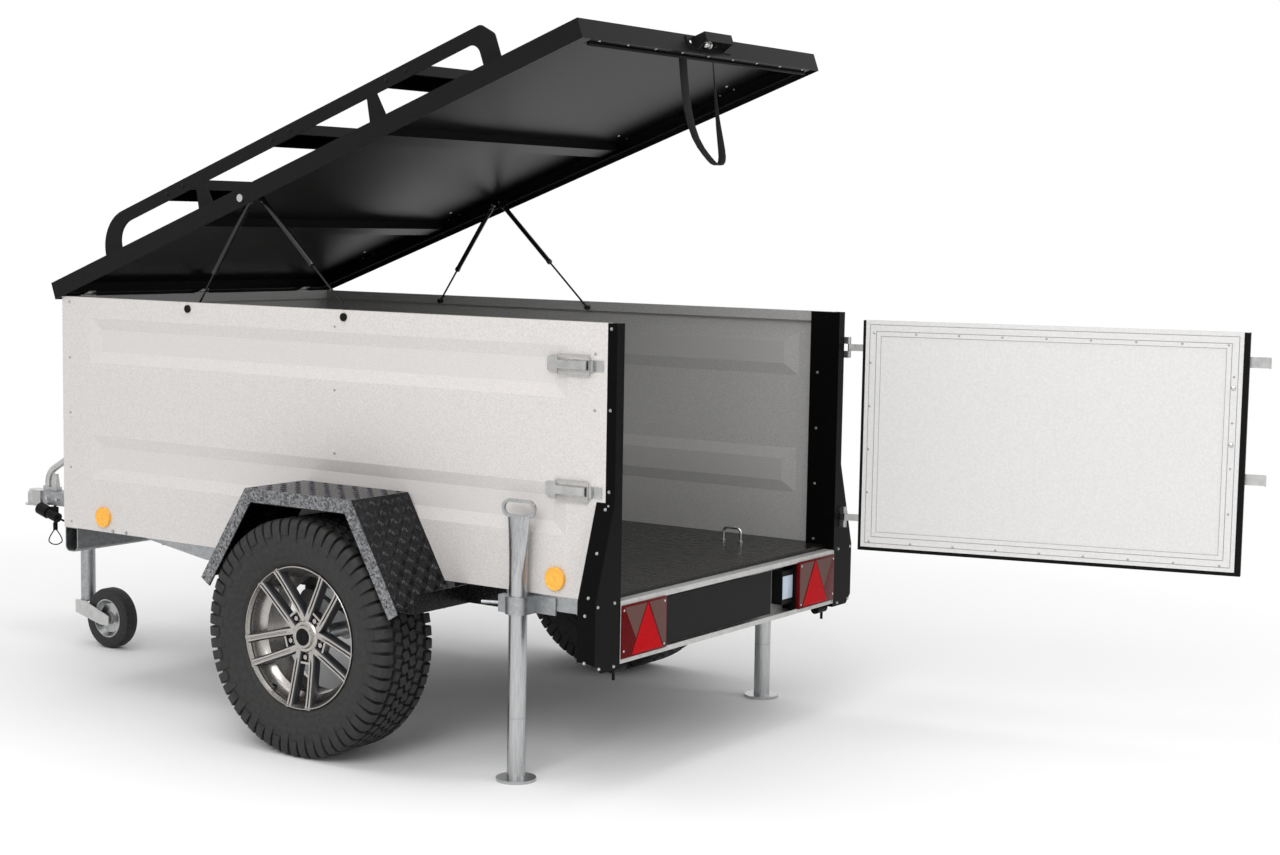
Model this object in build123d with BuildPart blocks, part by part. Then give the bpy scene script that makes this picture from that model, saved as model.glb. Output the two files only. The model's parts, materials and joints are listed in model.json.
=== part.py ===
"""Off-road box trailer with a lifting lid, a roof rack on the lid and a swinging rear door.

The frame has its origin at the centre of the towing ball, +X forwards, +Y to the left
and +Z up. All lengths are in millimetres and all angles in degrees.
"""

import os
from math import atan2, cos, degrees, hypot, radians, sin, tan

from build123d import *

os.makedirs("parts", exist_ok=True)

# General clearances and the overrun that every cut is given
seat_gap = 0.3
pin_gap = 0.3
cut_over = 2.0

# The box and where it stands
ball_height = 430.0
ball_ahead_of_box = 826.0
box_length = 2014.0
box_width = 1157.4
floor_height = 486.0
board_height = 350.0
boards_per_wall = 2
sheet = 2.0
lip_depth = 22.0
lip_height = 28.0
foot_flange = 28.0

ground_z = -ball_height
box_front_x = -ball_ahead_of_box
box_rear_x = box_front_x - box_length
half_width = box_width / 2
wall_foot_z = ground_z + floor_height
wall_top_z = wall_foot_z + boards_per_wall * board_height

# Swages pressed into the wall boards
swage_below_top = 127.0
swage_mouth_height = 132.0
swage_flat_height = 65.0
swage_depth = 9.0
swage_from_end = 122.0
swage_end_slope = 45.0

# Floor board and the channels under it
board_thickness = 12.0
member_wall = 3.0
rail_height = 40.0
rail_width = 45.0
rail_recess = 4.0
rail_taper_start_from_front = 603.0
rail_taper_end_from_front = 358.0
front_member_height = 75.0
front_member_width = 55.0
front_member_corner = 18.3
member_height = 28.0
member_width = 40.0
member_places = [380.0, 700.0]
member_places_from_front = [754.0, 414.0]

# Drawbar legs and the short tube that carries the coupling
leg_height = 60.0
leg_width = 40.0
leg_drop = 10.0
leg_bend_ahead = 330.0
leg_spread_angle = 25.0
nose_tube_height = 46.0
nose_tube_width = 60.0
nose_tube_length = 190.0
nose_tube_behind_ball = 60.0
nose_tube_rise = 24.0

# Coupling head over the ball
ball_radius = 25.0
ball_play = 0.25
socket_depth_below = 8.0
socket_depth_above = 12.0
coupling_wall = 6.0
coupling_skirt = 9.0
coupling_skirt_height = 4.0
coupling_top_rise = 46.0
coupling_crown = 12.2
coupling_crown_slope = 30.0
socket_crown_slope = 35.0

# Coupling handle and the catch lever behind it
handle_tube_radius = 12.0
handle_foot_x = -62.0
handle_foot_rise = 58.0
handle_crest_rise = 108.0
handle_tip_x = -188.0
handle_tip_rise = 178.0
handle_bend = 60.0
handle_ear_width = 30.0
handle_ear_thickness = 5.0
catch_x = -99.0
catch_foot_length = 34.0
catch_foot_height = 13.0
catch_length = 24.0
catch_width = 18.0
catch_height = 46.0
catch_taper = 5.0

# Road wheels and axle
tyre_diameter = 643.0
tyre_width = 205.0
bead_diameter = 356.0
rim_flange_diameter = 385.0
rim_width = 165.0
wheel_out = 127.3
track = box_width + 2 * wheel_out
wheel_from_rear = 845.0
axle_ahead_of_wheel = 139.0
axle_tube_size = 66.0
axle_tube_wall = 5.0
arm_thickness = 22.0
arm_width = 62.0
spindle_radius = 20.0
hub_radius = 74.0
hub_cap_radius = 32.0
cap_taper = 30.0
spoke_pairs = 5
spoke_first_angle = 90.0
spoke_root_width = 25.0
spoke_tip_width = 22.0
spoke_root_place = 21.0
spoke_tip_place = 33.0
spoke_depth = 24.0
rim_dish = 16.0
lug_circle_radius = 56.0
lug_hole_radius = 8.0
hub_face_inset = 8.0
rim_wall = 6.0
rim_well_radius = 158.0
rim_well_half = 40.0
rim_well_slope = 16.0
tread_half_width = 86.0
bulge_radius = 262.0
wheel_centre_z = ground_z + tyre_diameter / 2
wheel_x = box_rear_x + wheel_from_rear

# Fenders
fender_top_height = 710.0
fender_out = 225.3
fender_outer_y = box_width / 2 + fender_out
fender_plate = 3.0
fender_lip = 38.0
fender_top_rear = 644.0
fender_top_front = 1023.0
fender_low_rear = 482.0
fender_low_rear_height = 430.0
fender_low_front = 1190.0
fender_low_front_height = 450.0
fender_stay_length = 170.0
fender_stay_height = 50.0

# Prop stands at the rear corners
stand_from_rear = 245.0
stand_out = 33.3
stand_y = box_width / 2 + stand_out
stand_radius = 24.0
stand_wall = 3.0
stand_foot_radius = 52.0
stand_foot_thickness = 8.0
stand_top_height = 685.0
stand_flat_length = 150.0
stand_flat_thickness = 12.0
stand_flat_width = 70.0
stand_ring_height = 48.0
stand_ring_width = 107.0
stand_ring_bar = 8.0
stand_clamp_low = 435.0
stand_clamp_high = 480.0
stand_clamp_wall = 9.0
clamp_lever_start = 42.0
clamp_lever_end = 100.0
clamp_lever_lean = 24.0
clamp_lever_radius = 4.5
clamp_ear_reach = 22.0
clamp_ear_thickness = 24.0
clamp_bracket_length = 62.0
clamp_bracket_plate = 5.0

# Jockey wheel
jockey_ahead_of_box = 426.0
jockey_y = 120.0
jockey_tube_radius = 24.0
jockey_tube_wall = 3.0
jockey_tube_low = 150.0
jockey_tube_high = 640.0
jockey_trail = 116.0
jockey_wheel_radius = 100.0
jockey_wheel_width = 50.0
jockey_hub_radius = 58.0
jockey_fork_gap = 6.0
jockey_fork_plate = 4.0
jockey_fork_height = 42.0
jockey_fork_lap = 10.5
jockey_stem_radius = 19.0
jockey_stem_length = 60.0
jockey_axle_radius = 6.0
jockey_clamp_low = 428.0
jockey_clamp_high = 468.0
jockey_clamp_wall = 8.0
crank_length = 95.0
crank_bar = 8.0
crank_knob_radius = 15.0
crank_post_radius = 5.0
crank_post_length = 22.0
jockey_tyre_corner = 14.0
jockey_rim_recess = 7.0
jockey_boss_radius = 20.0

# Rear posts, lamp guards and sill
post_flange = 28.8
post_face = 32.0
post_inner = 95.0
post_foot_height = 318.0
guard_out = 76.0
guard_top_height = 738.0
guard_knee_height = 495.0
guard_fore = 27.0
guard_corner_radius = 26.0
sill_height = 160.0
sill_depth = 50.0
lamp_length = 205.0
lamp_height = 136.0
lamp_depth = 42.0
lamp_lens_depth = 8.0
lamp_lens_slope = 12.0
triangle_apex_share = 0.08
triangle_foot_low_share = -0.22
triangle_foot_high_share = 0.44
triangle_height_share = 0.86
triangle_rise = 7.0
triangle_slope = 30.0
plate_lamp_length = 62.0
plate_lamp_height = 96.0
plate_lamp_depth = 34.0
sign_from_plate_lamp = 74.9
sign_height = 122.0
sign_thickness = 3.0
sign_spacer_shares = [0.2, 0.8]
sign_spacer = 30.0
buffer_length = 54.0
buffer_radius = 13.0
buffer_stud_radius = 4.0
buffer_stud_length = 20.0

# Lid, its hinge line and its rack
lid_open_angle = 20.0
hinge_ahead_of_box = 12.5
hinge_below_top = 1.0
lid_over_side = 7.8
lid_half_width = box_width / 2 + lid_over_side
lid_front_over = 12.0
lid_length = 2064.5
lid_skirt_low = 6.0
lid_top_rise = 46.0
lid_rim_rise = 7.0
lid_rim_width = 25.0
lid_rib_height = 26.0
lid_rib_width = 60.0
lid_rib_places = [560.0, 1300.0]
hinge_barrel_radius = 5.0
hinge_pin_radius = 2.5
hinge_leaf = 3.0
hinge_knuckle = 30.0
lid_hinge_from_side = 108.7
lid_hinge_spread = box_width / 2 - lid_hinge_from_side
rack_from_side = 18.7
rack_y = box_width / 2 - rack_from_side
rack_plate = 4.0
rack_band = 38.0
rack_rise = 110.0
rack_foot_front = 218.0
rack_foot_length = 74.0
rack_bend_front = 228.0
rack_bend_outer = 110.0
rack_bend_inner = 64.0
rack_rear_top = 1758.0
rack_rear_foot = 1733.0
rack_rear_end = 1793.0
rack_rear_slope = 38.0
rack_corner_outer = 20.0
rack_corner_inner = 30.0
rack_post_root = 62.0
rack_post_places = [663.0, 1352.0]
rack_post_width = 36.0
rack_foot_flange = 22.0
rack_bar_places = [561.0, 1006.0, 1450.0]
rack_bar_width = 100.0
rack_bar_height = 30.0
rack_bar_wall = 3.0
hood_reach = 40.0
hood_face_half = 67.0
hood_tab = 38.0
hood_plate = 3.0
hood_top = 41.0
hood_face_foot = 16.0
hood_root_foot = 4.0
lock_barrel_radius = 11.0
lock_barrel_length = 26.0
lock_height = 20.0
strap_width = 25.0
strap_thickness = 2.5
strap_drop = 322.0
strap_spread = 150.0
strap_waist_shift = 35.0
strap_waist_spread = 140.0
strap_foot_shift = 120.0
strap_foot_spread = 64.0
strap_from_rear = 30.0
strap_waist_share = 0.62
strap_bend_radius = 260.0

# Gas struts: two on each side, between one bracket on the lid and two pins in the wall
strut_from_side = 33.7
strut_y = box_width / 2 - strut_from_side
strut_cylinder_radius = 7.5
strut_rod_radius = 3.0
strut_rod_inset = 22.5
strut_eye_radius = 7.0
strut_eye_width = 14.0
strut_pin_radius = 4.0
strut_lid_place = 841.5
strut_lid_rise = 18.0
strut_stud_spread = 30.0
strut_front_pin_back = 539.0
strut_front_pin = box_length - strut_front_pin_back
strut_rear_pin_back = 1139.0
strut_rear_pin = box_length - strut_rear_pin_back
strut_pin_below_top = 19.0
strut_front_cylinder = 262.0
strut_rear_cylinder = 281.0
strut_cap_radius = 11.0
strut_cap_height = 5.0

# Rear door
door_open_angle = 104.0
door_hinge_behind = 40.0
door_hinge_beyond = 11.3
door_hinge_out = box_width / 2 + door_hinge_beyond
door_edge_gap = 5.0
door_bottom_gap = 5.0
door_top_gap = 21.0
door_thickness = 25.0
door_face_ahead = 6.0
door_frame_width = 42.0
door_frame_proud = 2.0
door_trim_wall = 2.0
door_trim_near = 8.0
door_trim_far = 16.0
door_trim_low = 10.0
door_hinge_places = [90.0, 590.0]
door_hinge_height = 60.0
keeper_places = [267.0, 590.0]
keeper_reach = 56.0
keeper_height = 30.0
keeper_plate = 3.0
keeper_turn = 20.0

# Small fittings on the box
latch_from_rear = 98.0
latch_length = 176.0
latch_height = 28.0
latch_depth = 14.0
latch_tab_height = 38.0
latch_tab_length = 32.0
latch_tab_corner = 8.0
bail_wire = 3.5
lever_length = 96.0
lever_height = 26.0
lever_from_rear = 102.0
lever_taper = 12.0
bail_length = 104.0
bail_height = 54.0
bail_rise = 7.0
bail_from_rear = 100.0
latch_hook_from_rear = 42.0
latch_hook_width = 8.0
latch_places = [1078.0, 761.0]
reflector_radius = 30.0
reflector_thickness = 9.0
reflector_from_front = 179.0
reflector_from_rear = 150.0
reflector_height = 531.0
ring_from_side = 148.7
ring_rear_place = 250.0
ring_front_back = 264.0
ring_places = [
    # from the rear, out from the middle
    (ring_rear_place, box_width / 2 - ring_from_side),
    (box_length - ring_front_back, box_width / 2 - ring_from_side),
]
ring_width = 60.0
ring_height = 40.0
ring_wire = 4.0
ring_bend = 14.0
ring_foot_radius = 9.0
ring_foot_height = 3.0

# Cable plug parked beside the nose tube, its cable, and the loop of the safety cable
plug_rubber_radius = 21.0
plug_rubber_length = 46.0
plug_body_radius = 17.0
plug_body_length = 50.0
plug_front_x = -78.0
plug_front_z = -10.0
plug_tilt = 16.0
plug_clip_length = 26.0
plug_clip_plate = 5.0
cable_radius = 3.5
cable_run = 34.0
cable_side_step = 16.0
cable_gland_radius = 8.0
cable_gland_height = 8.0
cable_gland_x = -244.0
cable_gland_y = 8.0
loop_x = -118.0
loop_y = 20.0
loop_top_z = -86.0
loop_turn = 42.0
loop_wire_radius = 2.0
loop_points = [
    # along the loop's own plane, up
    (-2.5, 2.0),
    (-28.0, -33.0),
    (-13.0, -51.0),
    (13.0, -51.0),
    (28.0, -33.0),
    (2.5, 2.0),
]
loop_sleeve_radius = 8.0
loop_sleeve_height = 26.0
loop_hanger_length = 12.0
loop_hanger_plate = 4.0
bend_share = 0.45
end_bend_share = 0.9


def along(from_rear):
    """The X of a place measured forwards from the rear edge of the walls."""
    return box_rear_x + from_rear


def over_ground(height):
    """The Z of a height over the ground."""
    return ground_z + height


def slab(low, high, mode=Mode.ADD):
    """A rectangular block between two corners of the frame being built in."""
    size = [b - a for a, b in zip(low, high)]
    centre = [(a + b) / 2 for a, b in zip(low, high)]
    with Locations(tuple(centre)):
        Box(*size, mode=mode)


def plate(plane, points, thickness):
    """A flat plate cut to an outline on a plane, thick along its normal."""
    with BuildPart() as blank:
        with BuildSketch(plane):
            with BuildLine():
                Polyline(*points, close=True)
            make_face()
        extrude(amount=thickness)
    return blank.part


def rod(start, end, radius):
    """A round bar from one point to another."""
    axis = Vector(*end) - Vector(*start)
    with BuildPart() as blank:
        with BuildSketch(Plane(origin=start, z_dir=axis)):
            Circle(radius)
        extrude(amount=axis.length)
    return blank.part


def bent_rod(points, radii, radius):
    """A round bar along straight runs joined by tangent arcs."""
    with BuildPart() as blank:
        with BuildLine() as path:
            FilletPolyline(*points, radius=radii)
        with BuildSketch(Plane(origin=path.line @ 0, z_dir=path.line % 0)):
            Circle(radius)
        sweep()
    return blank.part


def corner_radii(points):
    """A radius for each corner that uses most of the shorter run beside it."""
    radii = []
    last = len(points) - 2
    for n, (before, corner, after) in enumerate(zip(points, points[1:], points[2:]), 1):
        run_in = Vector(*corner) - Vector(*before)
        run_out = Vector(*after) - Vector(*corner)
        half_turn = radians(run_in.get_angle(run_out) / 2)
        reach_in = run_in.length * (end_bend_share if n == 1 else bend_share)
        reach_out = run_out.length * (end_bend_share if n == last else bend_share)
        radii.append(min(reach_in, reach_out) / tan(half_turn))
    return radii


def mirrored(piece):
    """The same piece on the other side of the trailer."""
    return mirror(piece, about=Plane.XZ)


def finish(piece, name):
    """Labels a finished piece and writes it out."""
    piece.label = name
    export_step(piece, f"parts/{name}.step")


# Wall boards with their pressed swages

board_tops = [wall_top_z - n * board_height for n in range(boards_per_wall)]


def swage(mouth_plane, mouth_length):
    """The solid of one swage, from its mouth on a plane to its flat behind it."""
    with BuildPart() as form:
        with BuildSketch(mouth_plane):
            Rectangle(mouth_length, swage_mouth_height)
        with BuildSketch(mouth_plane.offset(swage_depth)):
            Rectangle(mouth_length - 2 * swage_end_slope, swage_flat_height)
        loft()
    return form.part


side_swage_length = box_length - 2 * swage_from_end
side_centre_x = (box_front_x + box_rear_x) / 2
front_lip_x = box_front_x - sheet - seat_gap

with BuildPart() as side_panel_left:
    slab((box_rear_x, half_width - sheet, wall_foot_z), (box_front_x, half_width, wall_top_z))
    slab(
        (box_rear_x, half_width - lip_depth, wall_top_z - lip_height),
        (front_lip_x, half_width, wall_top_z),
    )
    slab(
        (box_rear_x, half_width - lip_depth + sheet, wall_top_z - lip_height),
        (front_lip_x, half_width - sheet, wall_top_z - sheet),
        mode=Mode.SUBTRACT,
    )
    slab(
        (box_rear_x, half_width - foot_flange, wall_foot_z),
        (front_lip_x, half_width, wall_foot_z + sheet),
    )
    for top in board_tops:
        centre = (side_centre_x, half_width, top - swage_below_top)
        outer = Plane(origin=centre, x_dir=(1, 0, 0), z_dir=(0, -1, 0))
        add(swage(outer.offset(sheet), side_swage_length))
        add(swage(outer, side_swage_length), mode=Mode.SUBTRACT)
finish(side_panel_left.part, "side_panel_left")
side_panel_right = mirrored(side_panel_left.part)
finish(side_panel_right, "side_panel_right")

front_half = half_width - sheet - seat_gap
front_lip_half = half_width - lip_depth - seat_gap
front_foot_half = half_width - foot_flange - seat_gap
front_swage_length = 2 * front_lip_half - 2 * swage_end_slope
with BuildPart() as front_wall:
    slab((box_front_x - sheet, -front_half, wall_foot_z), (box_front_x, front_half, wall_top_z))
    slab(
        (box_front_x - lip_depth, -front_lip_half, wall_top_z - lip_height),
        (box_front_x, front_lip_half, wall_top_z),
    )
    slab(
        (box_front_x - lip_depth + sheet, -front_lip_half, wall_top_z - lip_height),
        (box_front_x - sheet, front_lip_half, wall_top_z - sheet),
        mode=Mode.SUBTRACT,
    )
    slab(
        (box_front_x - foot_flange, -front_foot_half, wall_foot_z),
        (box_front_x, front_foot_half, wall_foot_z + sheet),
    )
    for top in board_tops:
        centre = (box_front_x, 0, top - swage_below_top)
        outer = Plane(origin=centre, x_dir=(0, 1, 0), z_dir=(-1, 0, 0))
        add(swage(outer.offset(sheet), front_swage_length))
        add(swage(outer, front_swage_length), mode=Mode.SUBTRACT)
finish(front_wall.part, "front_wall")

# Floor board

floor_z = wall_foot_z + sheet
floor_top_z = floor_z + board_thickness
with BuildPart() as floor_board:
    slab(
        (box_rear_x + sheet, -front_half, floor_z),
        (box_front_x - sheet - seat_gap, front_half, floor_top_z),
    )
finish(floor_board.part, "floor_board")

# Drawbar: two bent legs that meet in a short tube

leg_top_z = wall_foot_z - leg_drop
leg_foot_z = leg_top_z - leg_height
leg_centre_y = leg_width / 2 + seat_gap
leg_bend_x = box_front_x + leg_bend_ahead
nose_front_x = -nose_tube_behind_ball
nose_top_z = nose_tube_rise + nose_tube_height / 2
nose_foot_z = nose_tube_rise - nose_tube_height / 2
rail_outer_y = half_width - rail_recess
rail_inner_y = rail_outer_y - rail_width
leg_end_y = rail_inner_y - seat_gap
leg_slope = tan(radians(leg_spread_angle))
leg_tail_x = leg_bend_x - leg_end_y / leg_slope


def leg_outline(half, side):
    """The plan of one leg, or of the hole that it passes through, as a bent band."""
    band = half / cos(radians(leg_spread_angle))
    turn = half * tan(radians(leg_spread_angle / 2))
    inner = side * (leg_centre_y - half)
    outer = side * (leg_centre_y + half)
    tail_y = leg_centre_y + (leg_bend_x - leg_tail_x) * leg_slope
    return [
        (nose_front_x - nose_tube_length, inner),
        (nose_front_x - nose_tube_length, outer),
        (leg_bend_x + turn, outer),
        (leg_tail_x, side * (tail_y + band)),
        (leg_tail_x, side * (tail_y - band)),
        (leg_bend_x - turn, inner),
    ]


with BuildPart() as drawbar:
    for side in (1, -1):
        with BuildSketch(Plane.XY.offset(leg_foot_z)):
            with BuildLine():
                Polyline(*leg_outline(leg_width / 2, side), close=True)
            make_face()
        extrude(amount=leg_height)
        with BuildSketch(Plane.XY.offset(leg_foot_z + member_wall)):
            with BuildLine():
                Polyline(*leg_outline(leg_width / 2 - member_wall, side), close=True)
            make_face()
        extrude(amount=leg_height - 2 * member_wall, mode=Mode.SUBTRACT)
        near_y, far_y = sorted((side * leg_end_y, side * half_width))
        slab(
            (leg_tail_x - leg_width, near_y, leg_foot_z - cut_over),
            (box_front_x, far_y, leg_top_z + cut_over),
            mode=Mode.SUBTRACT,
        )
    slab(
        (nose_front_x - nose_tube_length - leg_width, -nose_tube_width / 2, nose_foot_z),
        (nose_front_x, nose_tube_width / 2, nose_top_z),
    )
finish(drawbar.part, "drawbar")

# Chassis channels under the floor

rail_foot_z = wall_foot_z - rail_height
rail_taper_start = box_length - rail_taper_start_from_front
rail_taper_end = box_length - rail_taper_end_from_front
sill_web_x = along(sill_depth - post_flange + member_wall)
member_foot_z = floor_z - member_height
member_half = rail_inner_y
with BuildPart() as chassis_frame:
    for side in (1, -1):
        outline = [
            (sill_web_x, rail_foot_z),
            (along(rail_taper_start), rail_foot_z),
            (along(rail_taper_end), wall_foot_z - member_wall),
            (along(rail_taper_end), wall_foot_z),
            (sill_web_x, wall_foot_z),
        ]
        outer = Plane(origin=(0, side * rail_outer_y, 0), x_dir=(1, 0, 0), z_dir=(0, -1, 0))
        with BuildSketch(outer):
            with BuildLine():
                Polyline(*outline, close=True)
            make_face()
        extrude(amount=side * rail_width)
        near_y, far_y = sorted((side * (rail_inner_y - cut_over), side * (rail_outer_y - member_wall)))
        slab(
            (sill_web_x - cut_over, near_y, rail_foot_z + member_wall),
            (along(rail_taper_start), far_y, wall_foot_z - member_wall),
            mode=Mode.SUBTRACT,
        )
    for place in member_places + [box_length - from_front for from_front in member_places_from_front]:
        slab(
            (along(place), -member_half, member_foot_z),
            (along(place) + member_width, member_half, floor_z),
        )
        slab(
            (along(place) + member_wall, -member_half - cut_over, member_foot_z - cut_over),
            (along(place) + member_width - member_wall, member_half + cut_over, floor_z - member_wall),
            mode=Mode.SUBTRACT,
        )
    for side in (1, -1):
        with BuildSketch(Plane.XY.offset(leg_foot_z - seat_gap)):
            with BuildLine():
                Polyline(*leg_outline(leg_width / 2 + seat_gap, side), close=True)
            make_face()
        extrude(amount=leg_height + 2 * seat_gap, mode=Mode.SUBTRACT)
finish(chassis_frame.part, "chassis_frame")

# Front cross member, a channel whose lower corner is rounded

front_member_foot_z = wall_foot_z - front_member_height
with BuildPart() as front_member:
    with BuildSketch(Plane.XZ.offset(-rail_outer_y)) as channel:
        with BuildLine():
            Polyline(
                (box_front_x - front_member_width, wall_foot_z),
                (box_front_x - front_member_width, front_member_foot_z),
                (box_front_x, front_member_foot_z),
                (box_front_x, wall_foot_z),
                close=True,
            )
        make_face()
        fillet(channel.vertices().group_by(Axis.Y)[0], radius=front_member_corner)
        offset(channel.sketch, amount=-member_wall, kind=Kind.INTERSECTION, mode=Mode.SUBTRACT)
    extrude(amount=2 * rail_outer_y)
    for side in (1, -1):
        with BuildSketch(Plane.XY.offset(leg_foot_z - seat_gap)):
            with BuildLine():
                Polyline(*leg_outline(leg_width / 2 + seat_gap, side), close=True)
            make_face()
        extrude(amount=leg_height + 2 * seat_gap, mode=Mode.SUBTRACT)
finish(front_member.part, "front_member")


# Coupling head: a pressed body with a dome over the ball and a skirt around its mouth

socket_radius = ball_radius + ball_play
dome_radius = socket_radius + coupling_wall
body_back_x = nose_front_x + seat_gap
body_half = nose_tube_width / 2 + coupling_wall
with BuildPart() as coupling_head:
    with BuildSketch(Plane.XY.offset(-socket_depth_below)):
        Circle(dome_radius)
    extrude(amount=coupling_top_rise + socket_depth_below - coupling_crown)
    with BuildSketch(Plane.XY.offset(coupling_top_rise - coupling_crown)):
        Circle(dome_radius)
    extrude(amount=coupling_crown, taper=coupling_crown_slope)
    with BuildSketch(Plane.YZ.offset(body_back_x)):
        with Locations((0, (nose_top_z - socket_depth_below) / 2)):
            Rectangle(2 * body_half, nose_top_z + socket_depth_below)
    with BuildSketch(Plane.YZ.offset(-socket_radius / 2)):
        with Locations((0, (coupling_top_rise - socket_depth_below) / 2)):
            Rectangle(2 * dome_radius, coupling_top_rise + socket_depth_below)
    loft()
    with BuildSketch(Plane.XY.offset(-socket_depth_below)):
        Circle(dome_radius + coupling_skirt)
        with Locations((body_back_x / 2, 0)):
            Rectangle(-body_back_x, 2 * (dome_radius + coupling_skirt / 2))
    extrude(amount=coupling_skirt_height)
    with BuildSketch(Plane.XY.offset(-socket_depth_below - cut_over)):
        Circle(socket_radius)
    extrude(amount=socket_depth_below + socket_depth_above + cut_over, mode=Mode.SUBTRACT)
    with BuildSketch(Plane.XY.offset(socket_depth_above)):
        Circle(socket_radius)
    extrude(amount=socket_radius / 2, taper=socket_crown_slope, mode=Mode.SUBTRACT)
finish(coupling_head.part, "coupling_head")

with BuildPart() as coupling_handle:
    add(
        bent_rod(
            [
                (handle_foot_x, 0, handle_foot_rise),
                (handle_foot_x, 0, handle_crest_rise),
                (handle_tip_x, 0, handle_tip_rise),
            ],
            [handle_bend],
            handle_tube_radius,
        )
    )
    slab(
        (handle_foot_x - handle_ear_width / 2, -handle_tube_radius, nose_top_z + seat_gap),
        (handle_foot_x + handle_ear_width / 2, handle_tube_radius, handle_foot_rise + handle_ear_thickness),
    )
    slab(
        (catch_x - catch_foot_length / 2, -handle_tube_radius, nose_top_z + seat_gap),
        (handle_foot_x, handle_tube_radius, nose_top_z + catch_foot_height),
    )
    with BuildSketch(Plane(origin=(catch_x, 0, nose_top_z + catch_foot_height))):
        Rectangle(catch_length, catch_width)
    extrude(amount=catch_height, taper=catch_taper)
finish(coupling_handle.part, "coupling_handle")

# Axle: a square rubber torsion tube on two plates, with an arm and a spindle at each end

axle_x = wheel_x + axle_ahead_of_wheel
axle_top_z = rail_foot_z - (rail_height - leg_drop)
axle_z = axle_top_z - axle_tube_size / 2
wheel_y = track / 2
arm_inner_y = half_width + seat_gap
arm_outer_y = arm_inner_y + arm_thickness
hub_back_y = arm_outer_y + cut_over
arm_run = hypot(axle_x - wheel_x, axle_z - wheel_centre_z)
arm_lean = degrees(atan2(axle_z - wheel_centre_z, axle_x - wheel_x))
arm_middle = ((axle_x + wheel_x) / 2, 0, (axle_z + wheel_centre_z) / 2)
hub_face_y = wheel_y + rim_width / 2 - hub_face_inset - rim_dish
with BuildPart() as axle_beam:
    with BuildSketch(Plane.XZ.offset(-arm_inner_y)):
        with Locations((axle_x, axle_z)):
            Rectangle(axle_tube_size, axle_tube_size)
            Rectangle(
                axle_tube_size - 2 * axle_tube_wall,
                axle_tube_size - 2 * axle_tube_wall,
                mode=Mode.SUBTRACT,
            )
    extrude(amount=2 * arm_inner_y)
    for side in (1, -1):
        plane = Plane(
            origin=(arm_middle[0], side * arm_inner_y, arm_middle[2]),
            x_dir=(cos(radians(arm_lean)), 0, sin(radians(arm_lean))),
            z_dir=(0, side, 0),
        )
        with BuildSketch(plane):
            SlotCenterToCenter(arm_run, arm_width)
        extrude(amount=arm_thickness)
        spindle = Plane(origin=(wheel_x, side * arm_inner_y, wheel_centre_z), z_dir=(0, side, 0))
        with BuildSketch(spindle):
            Circle(spindle_radius)
        extrude(amount=hub_face_y - arm_inner_y - rim_wall)
        bracket_low = (axle_x - axle_tube_size, min(side * rail_inner_y, side * rail_outer_y), axle_top_z)
        bracket_high = (axle_x + axle_tube_size, max(side * rail_inner_y, side * rail_outer_y), rail_foot_z)
        slab(bracket_low, bracket_high)
finish(axle_beam.part, "axle_beam")

# Rear posts: folded channels around the rear edge of each wall

post_outer_x = box_rear_x - post_flange
post_inner_y = half_width - post_face
post_foot_z = over_ground(post_foot_height)
with BuildPart() as post:
    slab((post_outer_x, half_width - member_wall, post_foot_z), (box_rear_x, half_width, wall_top_z))
    slab((post_outer_x, post_inner_y, post_foot_z), (post_outer_x + member_wall, half_width, wall_top_z))
    slab((post_outer_x, post_inner_y, post_foot_z), (box_rear_x, post_inner_y + member_wall, wall_top_z))
    slab(
        (post_outer_x, post_inner_y, floor_top_z + seat_gap),
        (post_outer_x + post_inner, post_inner_y + member_wall, wall_top_z),
    )
with BuildPart() as rear_posts:
    add(post.part)
    add(mirrored(post.part))
finish(rear_posts.part, "rear_posts")

# Lamp guards: folded wings that widen the posts down to the lamps

door_foot_z = floor_z + door_bottom_gap
guard_top_z = over_ground(guard_top_height)
guard_knee_z = over_ground(guard_knee_height)
guard_wing = [
    (half_width + seat_gap, guard_top_z),
    (half_width + guard_out, guard_knee_z),
    (half_width + guard_out, post_foot_z + guard_corner_radius),
    (half_width + guard_out - guard_corner_radius, post_foot_z),
    (half_width + seat_gap, post_foot_z),
]
guard_slope = (half_width + guard_out - member_wall, guard_knee_z)
with BuildPart() as guard:
    add(plate(Plane.YZ.offset(post_outer_x), guard_wing, member_wall))
    outer = [
        guard_wing[0],
        guard_wing[1],
        guard_wing[2],
        (guard_wing[2][0] - member_wall, guard_wing[2][1]),
        guard_slope,
        (guard_wing[0][0], guard_top_z - member_wall * (guard_top_z - guard_knee_z) / guard_out),
    ]
    add(plate(Plane.YZ.offset(post_outer_x), outer, post_flange + guard_fore))
with BuildPart() as lamp_guards:
    add(guard.part)
    add(mirrored(guard.part))
    for place in door_hinge_places:
        mid = door_foot_z + place
        reach = door_hinge_height / 2 + hinge_leaf
        slab(
            (post_outer_x - cut_over, -half_width - hinge_leaf - 2 * seat_gap, mid - reach),
            (box_rear_x + guard_fore + cut_over, -half_width + cut_over, mid + reach),
            mode=Mode.SUBTRACT,
        )
finish(lamp_guards.part, "lamp_guards")

# Rear sill: a channel open to the rear, with the lamps and the sign board in it

sill_half = post_inner_y - seat_gap
sill_rear_x = sill_web_x - sill_depth
sill_foot_z = floor_z - sill_height
with BuildPart() as rear_sill:
    slab((sill_rear_x, -sill_half, sill_foot_z), (sill_web_x, sill_half, floor_z))
    slab(
        (sill_rear_x - cut_over, -sill_half - cut_over, sill_foot_z + member_wall),
        (sill_web_x - member_wall, sill_half + cut_over, floor_z - member_wall),
        mode=Mode.SUBTRACT,
    )
finish(rear_sill.part, "rear_sill")

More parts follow.
